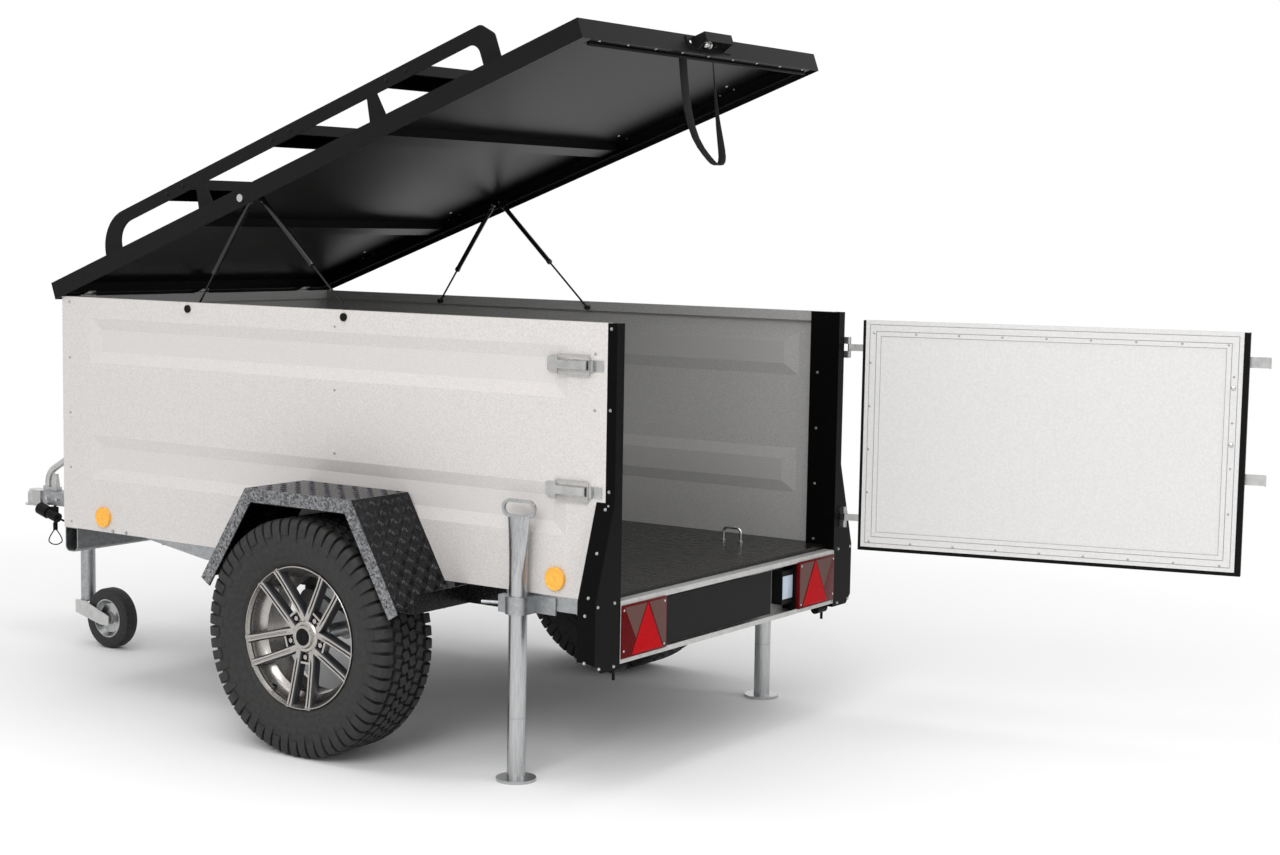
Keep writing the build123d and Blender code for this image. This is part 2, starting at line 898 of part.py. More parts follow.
lamp_mid_z = (floor_z + sill_foot_z) / 2
lamp_outer_y = sill_half - seat_gap
lamp_inner_y = lamp_outer_y - lamp_length
lamp_front_x = sill_web_x - member_wall - seat_gap
lens_x = lamp_front_x - lamp_depth
with BuildPart() as tail_lamp_housings:
    for side in (1, -1):
        low_y = min(side * lamp_inner_y, side * lamp_outer_y)
        high_y = max(side * lamp_inner_y, side * lamp_outer_y)
        slab((lens_x, low_y, lamp_mid_z - lamp_height / 2), (lamp_front_x, high_y, lamp_mid_z + lamp_height / 2))
    slab(
        (lamp_front_x - plate_lamp_depth, -lamp_inner_y, lamp_mid_z - plate_lamp_height / 2),
        (lamp_front_x, -lamp_inner_y + plate_lamp_length, lamp_mid_z + plate_lamp_height / 2),
    )
finish(tail_lamp_housings.part, "tail_lamp_housings")
with BuildPart() as tail_lamp_lenses:
    for side in (1, -1):
        middle = side * (lamp_inner_y + lamp_outer_y) / 2
        with BuildSketch(Plane(origin=(lens_x, middle, lamp_mid_z), x_dir=(0, -1, 0), z_dir=(-1, 0, 0))):
            Rectangle(lamp_length, lamp_height)
        extrude(amount=lamp_lens_depth, taper=lamp_lens_slope)
        raised = Plane(
            origin=(lens_x - lamp_lens_depth, middle, lamp_mid_z),
            x_dir=(0, -side, 0),
            z_dir=(-1, 0, 0),
        )
        with BuildSketch(raised):
            with BuildLine():
                Polyline(
                    (triangle_apex_share * lamp_length, triangle_height_share * lamp_height / 2),
                    (triangle_foot_low_share * lamp_length, -triangle_height_share * lamp_height / 2),
                    (triangle_foot_high_share * lamp_length, -triangle_height_share * lamp_height / 2),
                    close=True,
                )
            make_face()
        extrude(amount=triangle_rise, taper=triangle_slope)
finish(tail_lamp_lenses.part, "tail_lamp_lenses")

sign_left_y = lamp_inner_y - seat_gap
sign_length = sign_left_y + lamp_inner_y - plate_lamp_length - sign_from_plate_lamp
with BuildPart() as sign_board:
    slab(
        (lens_x, sign_left_y - sign_length, lamp_mid_z - sign_height / 2),
        (lens_x + sign_thickness, sign_left_y, lamp_mid_z + sign_height / 2),
    )
    for share in sign_spacer_shares:
        with Locations((lens_x + sign_thickness, sign_left_y - share * sign_length, lamp_mid_z)):
            Box(
                lamp_front_x - lens_x - sign_thickness,
                sign_spacer,
                sign_spacer,
                align=(Align.MIN, Align.CENTER, Align.CENTER),
            )
finish(sign_board.part, "sign_board")

buffer_z = sill_foot_z - buffer_radius - seat_gap
with BuildPart() as sill_buffers:
    for side in (1, -1):
        plane = Plane(origin=(sill_rear_x + sill_depth / 2, side * sill_half, buffer_z), z_dir=(0, -side, 0))
        with BuildSketch(plane):
            Circle(buffer_radius)
        extrude(amount=buffer_length)
        stud_y = side * (sill_half - buffer_radius)
        stud_foot_z = buffer_z - buffer_radius - buffer_stud_length
        with BuildSketch(Plane(origin=(sill_rear_x + sill_depth / 2, stud_y, stud_foot_z))):
            Circle(buffer_stud_radius)
        extrude(amount=buffer_stud_length + buffer_radius)
finish(sill_buffers.part, "sill_buffers")

# Fenders: folded plates with an outer lip, and a stay to each end

fender_edge = [
    (along(fender_low_rear), over_ground(fender_low_rear_height)),
    (along(fender_top_rear), over_ground(fender_top_height)),
    (along(fender_top_front), over_ground(fender_top_height)),
    (along(fender_low_front), over_ground(fender_low_front_height)),
]


def inset_edge(points, inset):
    """An open bent line moved inwards, each corner on its bisector."""
    moved = []
    for n, (x, z) in enumerate(points):
        runs = []
        if n > 0:
            runs.append((x - points[n - 1][0], z - points[n - 1][1]))
        if n < len(points) - 1:
            runs.append((points[n + 1][0] - x, points[n + 1][1] - z))
        normals = [(dz / hypot(dx, dz), -dx / hypot(dx, dz)) for dx, dz in runs]
        nx = sum(normal[0] for normal in normals)
        nz = sum(normal[1] for normal in normals)
        reach = inset * len(normals) / (nx * nx + nz * nz)
        moved.append((x + nx * reach, z + nz * reach))
    return moved


fender_inner_y = half_width + seat_gap
with BuildPart() as fender:
    shell = fender_edge + inset_edge(fender_edge, fender_plate)[::-1]
    lip = fender_edge + inset_edge(fender_edge, fender_lip)[::-1]
    add(plate(Plane.XZ.offset(-fender_outer_y), shell, fender_outer_y - fender_inner_y))
    add(plate(Plane.XZ.offset(-fender_outer_y), lip, fender_plate))
    add(plate(Plane.XZ.offset(-fender_inner_y - fender_plate), lip, fender_plate))
with BuildPart() as fenders:
    add(fender.part)
    add(mirrored(fender.part))
finish(fenders.part, "fenders")

stay_top_z = rail_foot_z + rail_height
rear_stay_x = along(fender_low_rear)
with BuildPart() as stay:
    slab(
        (rear_stay_x - fender_stay_length, rail_outer_y + seat_gap, stay_top_z - fender_stay_height),
        (rear_stay_x - seat_gap, rail_outer_y + seat_gap + fender_plate, stay_top_z),
    )
    slab(
        (rear_stay_x - fender_stay_height, rail_outer_y + seat_gap, stay_top_z - fender_stay_height),
        (rear_stay_x - seat_gap, fender_outer_y - fender_plate, stay_top_z - fender_stay_height + fender_plate),
    )
    slab(
        (rear_stay_x - fender_stay_height, rail_outer_y + seat_gap, stay_top_z - fender_stay_height),
        (rear_stay_x - fender_stay_height + fender_plate, fender_outer_y - fender_plate, stay_top_z - seat_gap),
    )
with BuildPart() as fender_stays:
    add(stay.part)
    add(mirrored(stay.part))
finish(fender_stays.part, "fender_stays")

# Prop stands and the clamps that hold them

stand_x = along(stand_from_rear)
clamp_low_z = over_ground(stand_clamp_low)
clamp_high_z = over_ground(stand_clamp_high)
stand_flat_z = over_ground(stand_top_height - stand_flat_length)
stand_top_z = over_ground(stand_top_height)
for side, hand in ((1, "left"), (-1, "right")):
    axis_y = side * stand_y
    with BuildPart() as stand:
        with BuildSketch(Plane(origin=(stand_x, axis_y, ground_z))):
            Circle(stand_foot_radius)
        extrude(amount=stand_foot_thickness)
        with BuildSketch(Plane(origin=(stand_x, axis_y, ground_z + stand_foot_thickness))):
            Circle(stand_radius)
            Circle(stand_radius - stand_wall, mode=Mode.SUBTRACT)
        extrude(amount=stand_flat_z - ground_z - stand_foot_thickness)
        with BuildSketch(Plane(origin=(stand_x, axis_y, stand_flat_z))):
            Circle(stand_radius)
        with BuildSketch(Plane(origin=(stand_x, axis_y, stand_top_z))):
            Ellipse(stand_flat_width / 2, stand_flat_thickness / 2)
        loft()
        ring_z = stand_top_z + stand_ring_height / 2 - stand_ring_bar / 2
        ring_plane = Plane(origin=(stand_x, axis_y, ring_z), x_dir=(1, 0, 0), z_dir=(0, -1, 0))
        with BuildSketch(ring_plane.offset(-stand_ring_bar / 2)):
            SlotOverall(stand_ring_width, stand_ring_height)
            SlotOverall(
                stand_ring_width - 2 * stand_ring_bar,
                stand_ring_height - 2 * stand_ring_bar,
                mode=Mode.SUBTRACT,
            )
        extrude(amount=stand_ring_bar)
    finish(stand.part, f"prop_stand_{hand}")

clamp_half = stand_radius + seat_gap + stand_clamp_wall
with BuildPart() as clamp:
    with BuildSketch(Plane(origin=(stand_x, stand_y, clamp_low_z))):
        Circle(clamp_half)
        with Locations((0, (rail_outer_y + seat_gap - stand_y) / 2)):
            Rectangle(2 * clamp_half, stand_y - rail_outer_y - seat_gap)
        with Locations((clamp_half + clamp_ear_reach / 2 - stand_clamp_wall / 2, 0)):
            Rectangle(clamp_ear_reach + stand_clamp_wall, clamp_ear_thickness)
        Circle(stand_radius + pin_gap, mode=Mode.SUBTRACT)
    extrude(amount=clamp_high_z - clamp_low_z)
    slab(
        (stand_x - clamp_half - clamp_bracket_length, rail_outer_y + seat_gap, clamp_low_z),
        (stand_x, rail_outer_y + seat_gap + clamp_bracket_plate, clamp_high_z),
    )
    lever_z = (clamp_low_z + clamp_high_z) / 2
    add(
        rod(
            (stand_x + clamp_lever_start, stand_y, lever_z),
            (stand_x + clamp_lever_end, stand_y + clamp_lever_lean, lever_z),
            clamp_lever_radius,
        )
    )
with BuildPart() as stand_clamps:
    add(clamp.part)
    add(mirrored(clamp.part))
finish(stand_clamps.part, "stand_clamps")

# Jockey wheel: a clamped tube, a fork that swivels in it and a wheel that trails

jockey_x = box_front_x + jockey_ahead_of_box
jockey_low_z = over_ground(jockey_tube_low)
jockey_high_z = over_ground(jockey_tube_high)
jockey_axle_x = jockey_x - jockey_trail
jockey_axle_z = ground_z + jockey_wheel_radius
fork_half = jockey_wheel_width / 2 + jockey_fork_gap
with BuildPart() as jockey_tube:
    with BuildSketch(Plane(origin=(jockey_x, jockey_y, jockey_low_z))):
        Circle(jockey_tube_radius)
        Circle(jockey_tube_radius - jockey_tube_wall, mode=Mode.SUBTRACT)
    extrude(amount=jockey_high_z - jockey_low_z)
    with BuildSketch(Plane(origin=(jockey_x, jockey_y, jockey_high_z))):
        Circle(jockey_tube_radius)
    extrude(amount=crank_bar)
    crank_z = jockey_high_z + crank_bar
    slab(
        (jockey_x - crank_bar, jockey_y - crank_bar, crank_z),
        (jockey_x + crank_length, jockey_y + crank_bar, crank_z + crank_bar),
    )
    with BuildSketch(Plane(origin=(jockey_x + crank_length - crank_post_radius, jockey_y, crank_z))):
        Circle(crank_post_radius)
    extrude(amount=crank_post_length)
    knob_z = crank_z + crank_post_length + crank_knob_radius / 2
    with Locations((jockey_x + crank_length - crank_post_radius, jockey_y, knob_z)):
        Sphere(crank_knob_radius)
finish(jockey_tube.part, "jockey_tube")

with BuildPart() as jockey_fork:
    with BuildSketch(Plane(origin=(jockey_x, jockey_y, jockey_low_z - jockey_fork_plate - seat_gap))):
        Rectangle(2 * jockey_stem_radius, 2 * (fork_half + jockey_fork_plate))
    extrude(amount=jockey_fork_plate)
    with BuildSketch(Plane(origin=(jockey_x, jockey_y, jockey_low_z - seat_gap))):
        Circle(jockey_stem_radius)
    extrude(amount=jockey_stem_length)
    for side in (1, -1):
        cheek_y = jockey_y + side * fork_half
        cheek = [
            (jockey_x + jockey_tube_radius, jockey_low_z - seat_gap),
            (jockey_x - jockey_tube_radius, jockey_low_z - seat_gap),
            (jockey_axle_x - jockey_fork_height / 2, jockey_axle_z + jockey_fork_lap),
            (jockey_axle_x - jockey_fork_height / 2, jockey_axle_z - jockey_fork_height / 2),
            (jockey_axle_x + jockey_fork_height / 2, jockey_axle_z - jockey_fork_height / 2),
            (jockey_x + jockey_tube_radius, jockey_low_z - jockey_fork_height),
        ]
        cheek_plane = Plane(origin=(0, cheek_y, 0), x_dir=(1, 0, 0), z_dir=(0, -1, 0))
        add(plate(cheek_plane, cheek, -side * jockey_fork_plate))
    with BuildSketch(Plane(origin=(jockey_axle_x, jockey_y - fork_half - jockey_fork_plate, jockey_axle_z), z_dir=(0, 1, 0))):
        Circle(jockey_axle_radius)
    extrude(amount=2 * (fork_half + jockey_fork_plate))
finish(jockey_fork.part, "jockey_fork")

with BuildPart() as jockey_wheel:
    with BuildSketch(Plane(origin=(jockey_axle_x, jockey_y, jockey_axle_z), x_dir=(0, 1, 0), z_dir=(1, 0, 0))):
        with BuildLine():
            Polyline(
                (jockey_wheel_width / 2, jockey_hub_radius),
                (jockey_wheel_width / 2, jockey_wheel_radius - jockey_tyre_corner),
                (jockey_wheel_width / 2 - jockey_tyre_corner, jockey_wheel_radius),
                (jockey_tyre_corner - jockey_wheel_width / 2, jockey_wheel_radius),
                (-jockey_wheel_width / 2, jockey_wheel_radius - jockey_tyre_corner),
                (-jockey_wheel_width / 2, jockey_hub_radius),
                (jockey_rim_recess - jockey_wheel_width / 2, jockey_hub_radius - jockey_rim_recess),
                (jockey_rim_recess - jockey_wheel_width / 2, jockey_boss_radius),
                (-jockey_wheel_width / 2, jockey_boss_radius),
                (-jockey_wheel_width / 2, jockey_axle_radius + pin_gap),
                (jockey_wheel_width / 2, jockey_axle_radius + pin_gap),
                (jockey_wheel_width / 2, jockey_boss_radius),
                (jockey_wheel_width / 2 - jockey_rim_recess, jockey_boss_radius),
                (jockey_wheel_width / 2 - jockey_rim_recess, jockey_hub_radius - jockey_rim_recess),
                close=True,
            )
        make_face()
    revolve(axis=Axis((jockey_axle_x, 0, jockey_axle_z), (0, 1, 0)))
finish(jockey_wheel.part, "jockey_wheel")

jockey_clamp_radius = jockey_tube_radius + seat_gap + jockey_clamp_wall
clamp_reach_y = leg_centre_y + leg_width / 2 + seat_gap
with BuildPart() as jockey_clamp:
    with BuildSketch(Plane(origin=(jockey_x, jockey_y, over_ground(jockey_clamp_low)))):
        Circle(jockey_clamp_radius)
        with Locations((0, (clamp_reach_y - jockey_y) / 2)):
            Rectangle(2 * jockey_clamp_wall, jockey_y - clamp_reach_y)
        Circle(jockey_tube_radius + pin_gap, mode=Mode.SUBTRACT)
    extrude(amount=jockey_clamp_high - jockey_clamp_low)
    slab(
        (jockey_x - jockey_tube_radius, clamp_reach_y, over_ground(jockey_clamp_low)),
        (jockey_x + jockey_tube_radius, clamp_reach_y + jockey_clamp_wall, over_ground(jockey_clamp_high)),
    )
finish(jockey_clamp.part, "jockey_clamp")

# Road wheels

bead_radius = bead_diameter / 2
flange_radius = rim_flange_diameter / 2
tyre_radius = tyre_diameter / 2
half_tyre = tyre_width / 2
half_rim = rim_width / 2
bead_face = half_rim - rim_wall - seat_gap
hub_face = half_rim - hub_face_inset - rim_dish
hub_back = hub_back_y - wheel_y
barrel_radius = bead_radius - rim_wall
tyre_half_section = [
    (bead_face, bead_radius + seat_gap),
    (bead_face, flange_radius + seat_gap),
    (half_tyre, bulge_radius),
    (tread_half_width, tyre_radius),
]
barrel_half_section = [
    (half_rim, flange_radius),
    (half_rim - rim_wall, flange_radius),
    (half_rim - rim_wall, bead_radius),
    (rim_well_half + rim_well_slope, bead_radius),
    (rim_well_half, rim_well_radius),
]
bore_half_section = [
    (half_rim, bead_radius - rim_wall),
    (rim_well_half + rim_well_slope, bead_radius - rim_wall),
    (rim_well_half, rim_well_radius - rim_wall),
]


def both_halves(half_section):
    """A half section and its mirror image, as one outline."""
    return half_section + [(-across, out) for across, out in reversed(half_section)]


for side, hand in ((1, "left"), (-1, "right")):
    hub = Plane(origin=(wheel_x, side * wheel_y, wheel_centre_z), x_dir=(1, 0, 0), z_dir=(0, side, 0))
    section = Plane(origin=(wheel_x, side * wheel_y, wheel_centre_z), x_dir=(0, side, 0), z_dir=(side, 0, 0))
    turning_line = Axis((wheel_x, 0, wheel_centre_z), (0, 1, 0))
    with BuildPart() as tyre:
        with BuildSketch(section):
            with BuildLine():
                Polyline(*both_halves(tyre_half_section), close=True)
            make_face()
        revolve(axis=turning_line)
    finish(tyre.part, f"tyre_{hand}")

    with BuildPart() as dish:
        with BuildSketch(section):
            with BuildLine():
                Polyline(
                    (hub_face, 0),
                    (hub_face, lug_circle_radius),
                    (half_rim - hub_face_inset, barrel_radius + rim_wall / 2),
                    (half_rim - hub_face_inset - spoke_depth, barrel_radius + rim_wall / 2),
                    (hub_face - spoke_depth, lug_circle_radius),
                    (hub_face - spoke_depth, 0),
                    close=True,
                )
            make_face()
        revolve(axis=turning_line)
    with BuildPart() as spokes:
        with BuildSketch(hub.offset(hub_face - spoke_depth)):
            Circle(hub_radius)
            for n in range(spoke_pairs):
                with Locations(Rot(0, 0, spoke_first_angle + n * 360 / spoke_pairs)):
                    for lean in (1, -1):
                        with BuildLine():
                            Polyline(
                                (0, lean * (spoke_root_place - spoke_root_width / 2)),
                                (barrel_radius + rim_wall / 2, lean * (spoke_tip_place - spoke_tip_width / 2)),
                                (barrel_radius + rim_wall / 2, lean * (spoke_tip_place + spoke_tip_width / 2)),
                                (0, lean * (spoke_root_place + spoke_root_width / 2)),
                                close=True,
                            )
                        make_face()
            with PolarLocations(lug_circle_radius, spoke_pairs, start_angle=spoke_first_angle):
                Circle(lug_hole_radius, mode=Mode.SUBTRACT)
        extrude(amount=half_rim)
        add(dish.part, mode=Mode.INTERSECT)
    with BuildPart() as rim:
        with BuildSketch(section):
            with BuildLine():
                Polyline(*both_halves(barrel_half_section), (-half_rim, 0), (half_rim, 0), close=True)
            make_face()
            with BuildLine():
                Polyline(*both_halves(bore_half_section), (-half_rim, 0), (half_rim, 0), close=True)
            make_face(mode=Mode.SUBTRACT)
        revolve(axis=turning_line)
        add(spokes.part)
        with BuildSketch(hub.offset(hub_back)):
            Circle(hub_radius)
        extrude(amount=hub_face - spoke_depth - hub_back)
        with BuildSketch(hub.offset(hub_face)):
            Circle(hub_cap_radius)
        extrude(amount=rim_wall, taper=cap_taper)
        with BuildSketch(hub.offset(hub_back - cut_over)):
            Circle(spindle_radius + pin_gap)
        extrude(amount=hub_face - hub_back - rim_wall + cut_over + pin_gap, mode=Mode.SUBTRACT)
    finish(rim.part, f"rim_{hand}")

# Lid frame: U runs back from the hinge, V to the right and W out of the lid's top

hinge_x = box_front_x + hinge_ahead_of_box
hinge_z = wall_top_z - hinge_below_top
open_cos = cos(radians(lid_open_angle))
open_sin = sin(radians(lid_open_angle))
lid_plane = Plane(
    origin=(hinge_x, 0, hinge_z),
    x_dir=(-open_cos, 0, open_sin),
    z_dir=(open_sin, 0, open_cos),
)


def lid_point(u, w):
    """The X and Z of a point of the lid as it stands open."""
    return hinge_x - u * open_cos + w * open_sin, hinge_z + u * open_sin + w * open_cos


inner_half = lid_half_width - sheet
with BuildPart(lid_plane) as lid_shell:
    slab((-lid_front_over, -lid_half_width, -lid_skirt_low), (lid_length, lid_half_width, lid_top_rise))
    slab(
        (-lid_front_over + sheet, -inner_half, -lid_skirt_low - cut_over),
        (lid_length - sheet, inner_half, lid_rim_rise),
        mode=Mode.SUBTRACT,
    )
    slab(
        (-lid_front_over + sheet, -inner_half, lid_rim_rise + sheet),
        (lid_length - sheet, inner_half, lid_top_rise - sheet),
        mode=Mode.SUBTRACT,
    )
    slab(
        (-lid_front_over + lid_rim_width, -inner_half + lid_rim_width, lid_rim_rise - cut_over),
        (lid_length - lid_rim_width, inner_half - lid_rim_width, lid_rim_rise + sheet + cut_over),
        mode=Mode.SUBTRACT,
    )
finish(lid_shell.part, "lid_shell")

rib_top = lid_top_rise - sheet - seat_gap
rib_half = inner_half - seat_gap
with BuildPart(lid_plane) as lid_ribs:
    for place in lid_rib_places:
        slab(
            (place - lid_rib_width / 2, -rib_half, rib_top - lid_rib_height),
            (place + lid_rib_width / 2, rib_half, rib_top),
        )
        slab(
            (place - lid_rib_width / 2 + sheet, -rib_half - cut_over, rib_top - lid_rib_height + sheet),
            (place + lid_rib_width / 2 - sheet, rib_half + cut_over, rib_top + cut_over),
            mode=Mode.SUBTRACT,
        )
finish(lid_ribs.part, "lid_ribs")

# Roof rack: two cut side plates joined by three cross channels

rack_foot_w = lid_top_rise + seat_gap
rack_top_w = lid_top_rise + rack_rise
rack_low_w = rack_top_w - rack_band
with BuildPart() as rack_rails:
    for side in (1, -1):
        rail_plane = Plane(
            origin=lid_plane.origin + Vector(0, side * rack_y, 0),
            x_dir=lid_plane.x_dir,
            z_dir=(0, 1, 0),
        )
        with BuildPart() as rail:
            with BuildSketch(rail_plane):
                with BuildLine():
                    outer = FilletPolyline(
                        (rack_foot_front, rack_foot_w),
                        (rack_bend_front, rack_top_w),
                        (rack_rear_top, rack_top_w),
                        (rack_rear_end, rack_top_w - rack_rear_slope),
                        (rack_rear_end, rack_foot_w),
                        radius=[rack_bend_outer, rack_corner_outer, rack_corner_outer],
                    )
                    inner = FilletPolyline(
                        (rack_rear_foot, rack_foot_w),
                        (rack_rear_foot, rack_low_w),
                        (rack_foot_front + rack_foot_length, rack_low_w),
                        (rack_foot_front + rack_foot_length, rack_foot_w),
                        radius=[rack_corner_inner, rack_bend_inner],
                    )
                    Line(outer @ 1, inner @ 0)
                    Line(inner @ 1, outer @ 0)
                make_face()
            extrude(amount=-side * rack_plate)
        add(rail.part)
        for low_u, high_u in (
            (rack_foot_front, rack_foot_front + rack_foot_length),
            (rack_rear_foot, rack_rear_end),
            *((place - rack_post_root / 2, place + rack_post_root / 2) for place in rack_post_places),
        ):
            flange = Plane(
                origin=lid_plane.origin + Vector(0, side * (rack_y - rack_plate), 0),
                x_dir=lid_plane.x_dir,
                z_dir=(0, 1, 0),
            )
            tab = [
                (low_u, rack_foot_w),
                (high_u, rack_foot_w),
                (high_u, rack_foot_w + rack_plate),
                (low_u, rack_foot_w + rack_plate),
            ]
            add(plate(flange, tab, -side * rack_foot_flange))
        for place in rack_post_places:
            add(
                plate(
                    rail_plane,
                    [
                        (place - rack_post_width / 2, rack_low_w + cut_over),
                        (place + rack_post_width / 2, rack_low_w + cut_over),
                        (place + rack_post_root / 2, rack_foot_w),
                        (place - rack_post_root / 2, rack_foot_w),
                    ],
                    -side * rack_plate,
                )
            )
finish(rack_rails.part, "rack_rails")

rack_bar_half = rack_y - rack_plate - seat_gap
with BuildPart(lid_plane) as rack_crossbars:
    for place in rack_bar_places:
        mid_w = rack_top_w - rack_band / 2
        slab(
            (place - rack_bar_width / 2, -rack_bar_half, mid_w - rack_bar_height / 2),
            (place + rack_bar_width / 2, rack_bar_half, mid_w + rack_bar_height / 2),
        )
        slab(
            (
                place - rack_bar_width / 2 + rack_bar_wall,
                -rack_bar_half + rack_bar_wall,
                mid_w - rack_bar_height / 2 - cut_over,
            ),
            (
                place + rack_bar_width / 2 - rack_bar_wall,
                rack_bar_half - rack_bar_wall,
                mid_w + rack_bar_height / 2 - rack_bar_wall,
            ),
            mode=Mode.SUBTRACT,
        )
finish(rack_crossbars.part, "rack_crossbars")

# Lock: a hood folded from one strip round the barrel, on the outside of the rear skirt

hood_root = lid_length + seat_gap
hood_side = [
    (hood_root, hood_root_foot),
    (hood_root + hood_reach, hood_face_foot),
    (hood_root + hood_reach, hood_top),
    (hood_root, hood_top),
]
with BuildPart() as lid_lock:
    side_plane = Plane(
        origin=lid_plane.origin + Vector(0, -hood_face_half, 0),
        x_dir=lid_plane.x_dir,
        z_dir=(0, 1, 0),
    )
    add(plate(side_plane, hood_side, hood_plate))
    add(plate(side_plane.offset(2 * hood_face_half - hood_plate), hood_side, hood_plate))
    face = [
        (hood_root + hood_reach - hood_plate, hood_face_foot),
        (hood_root + hood_reach, hood_face_foot),
        (hood_root + hood_reach, hood_top),
        (hood_root + hood_reach - hood_plate, hood_top),
    ]
    add(plate(side_plane, face, 2 * hood_face_half))
    foot = [
        (hood_root, hood_root_foot),
        (hood_root + hood_plate, hood_root_foot),
        (hood_root + hood_plate, hood_top),
        (hood_root, hood_top),
    ]
    add(plate(side_plane.offset(-hood_tab), foot, 2 * (hood_face_half + hood_tab)))
    barrel_x, barrel_z = lid_point(hood_root, lock_height)
    with BuildSketch(Plane(origin=(barrel_x, 0, barrel_z), z_dir=lid_plane.x_dir)):
        Circle(lock_barrel_radius)
    extrude(amount=lock_barrel_length)
finish(lid_lock.part, "lid_lock")

# Strap that pulls the lid down: one band of webbing that hangs in a loop

strap_u = lid_length - strap_from_rear
strap_top_x, strap_top_z = lid_point(strap_u, lid_top_rise - sheet - seat_gap)
strap_top_z -= strap_width / 2 * open_sin / open_cos
strap_foot_z = strap_top_z - strap_drop
strap_waist_z = strap_top_z - strap_waist_share * strap_drop


def strap_line(inset):
    """The strap's line in the plane across the lid, moved inwards."""
    top_half = strap_spread / 2 - inset
    foot_half = strap_foot_spread / 2 - inset
    waist_half = strap_waist_spread / 2 - inset
    low = strap_foot_z + inset
    return FilletPolyline(
        (-top_half, strap_top_z),
        (-waist_half - strap_waist_shift, strap_waist_z),
        (-foot_half - strap_foot_shift, low),
        (foot_half - strap_foot_shift, low),
        (waist_half - strap_waist_shift, strap_waist_z),
        (top_half, strap_top_z),
        radius=[strap_bend_radius, foot_half - seat_gap, foot_half - seat_gap, strap_bend_radius],
    )


with BuildPart() as pull_strap:
    with BuildSketch(Plane.YZ.offset(strap_top_x - strap_width / 2)):
        with BuildLine():
            outer = strap_line(0)
            inner = strap_line(strap_thickness)
            Line(outer @ 0, inner @ 0)
            Line(outer @ 1, inner @ 1)
        make_face()
    extrude(amount=strap_width)
finish(pull_strap.part, "pull_strap")

# Lid hinges

knuckle_places = [-lid_hinge_spread, 0.0, lid_hinge_spread]
with BuildPart() as lid_hinge_posts:
    for place in knuckle_places:
        for side in (1, -1):
            near = place + side * (hinge_knuckle / 2 + seat_gap)
            with BuildSketch(Plane(origin=(hinge_x, near, hinge_z), z_dir=(0, side, 0))):
                Circle(hinge_barrel_radius)
            extrude(amount=hinge_knuckle / 2)
            low = min(near, near + side * hinge_knuckle / 2)
            slab(
                (box_front_x + seat_gap, low, wall_top_z - lip_height),
                (box_front_x + seat_gap + hinge_leaf, low + hinge_knuckle / 2, hinge_z),
            )
            slab(
                (box_front_x + seat_gap, low, hinge_z - hinge_leaf),
                (hinge_x, low + hinge_knuckle / 2, hinge_z),
            )
        with BuildSketch(Plane(origin=(hinge_x, place - hinge_knuckle, hinge_z), z_dir=(0, 1, 0))):
            Circle(hinge_pin_radius)
        extrude(amount=2 * hinge_knuckle)
finish(lid_hinge_posts.part, "lid_hinge_posts")

with BuildPart(lid_plane) as lid_hinge_leaves:
    for place in knuckle_places:
        with BuildSketch(Plane(origin=(hinge_x, place - hinge_knuckle / 2, hinge_z), z_dir=(0, 1, 0))):
            Circle(hinge_barrel_radius)
        extrude(amount=hinge_knuckle)
        slab(
            (0, -place - hinge_knuckle / 2, 0),
            (hinge_leaf, -place + hinge_knuckle / 2, lid_rim_rise - seat_gap),
        )
        slab(
            (0, -place - hinge_knuckle / 2, lid_rim_rise - seat_gap - hinge_leaf),
            (lid_rim_width, -place + hinge_knuckle / 2, lid_rim_rise - seat_gap),
        )
        with BuildSketch(Plane(origin=(hinge_x, place - hinge_knuckle, hinge_z), z_dir=(0, 1, 0))):
            Circle(hinge_pin_radius + pin_gap)
        extrude(amount=2 * hinge_knuckle, mode=Mode.SUBTRACT)
finish(lid_hinge_leaves.part, "lid_hinge_leaves")

# Gas struts

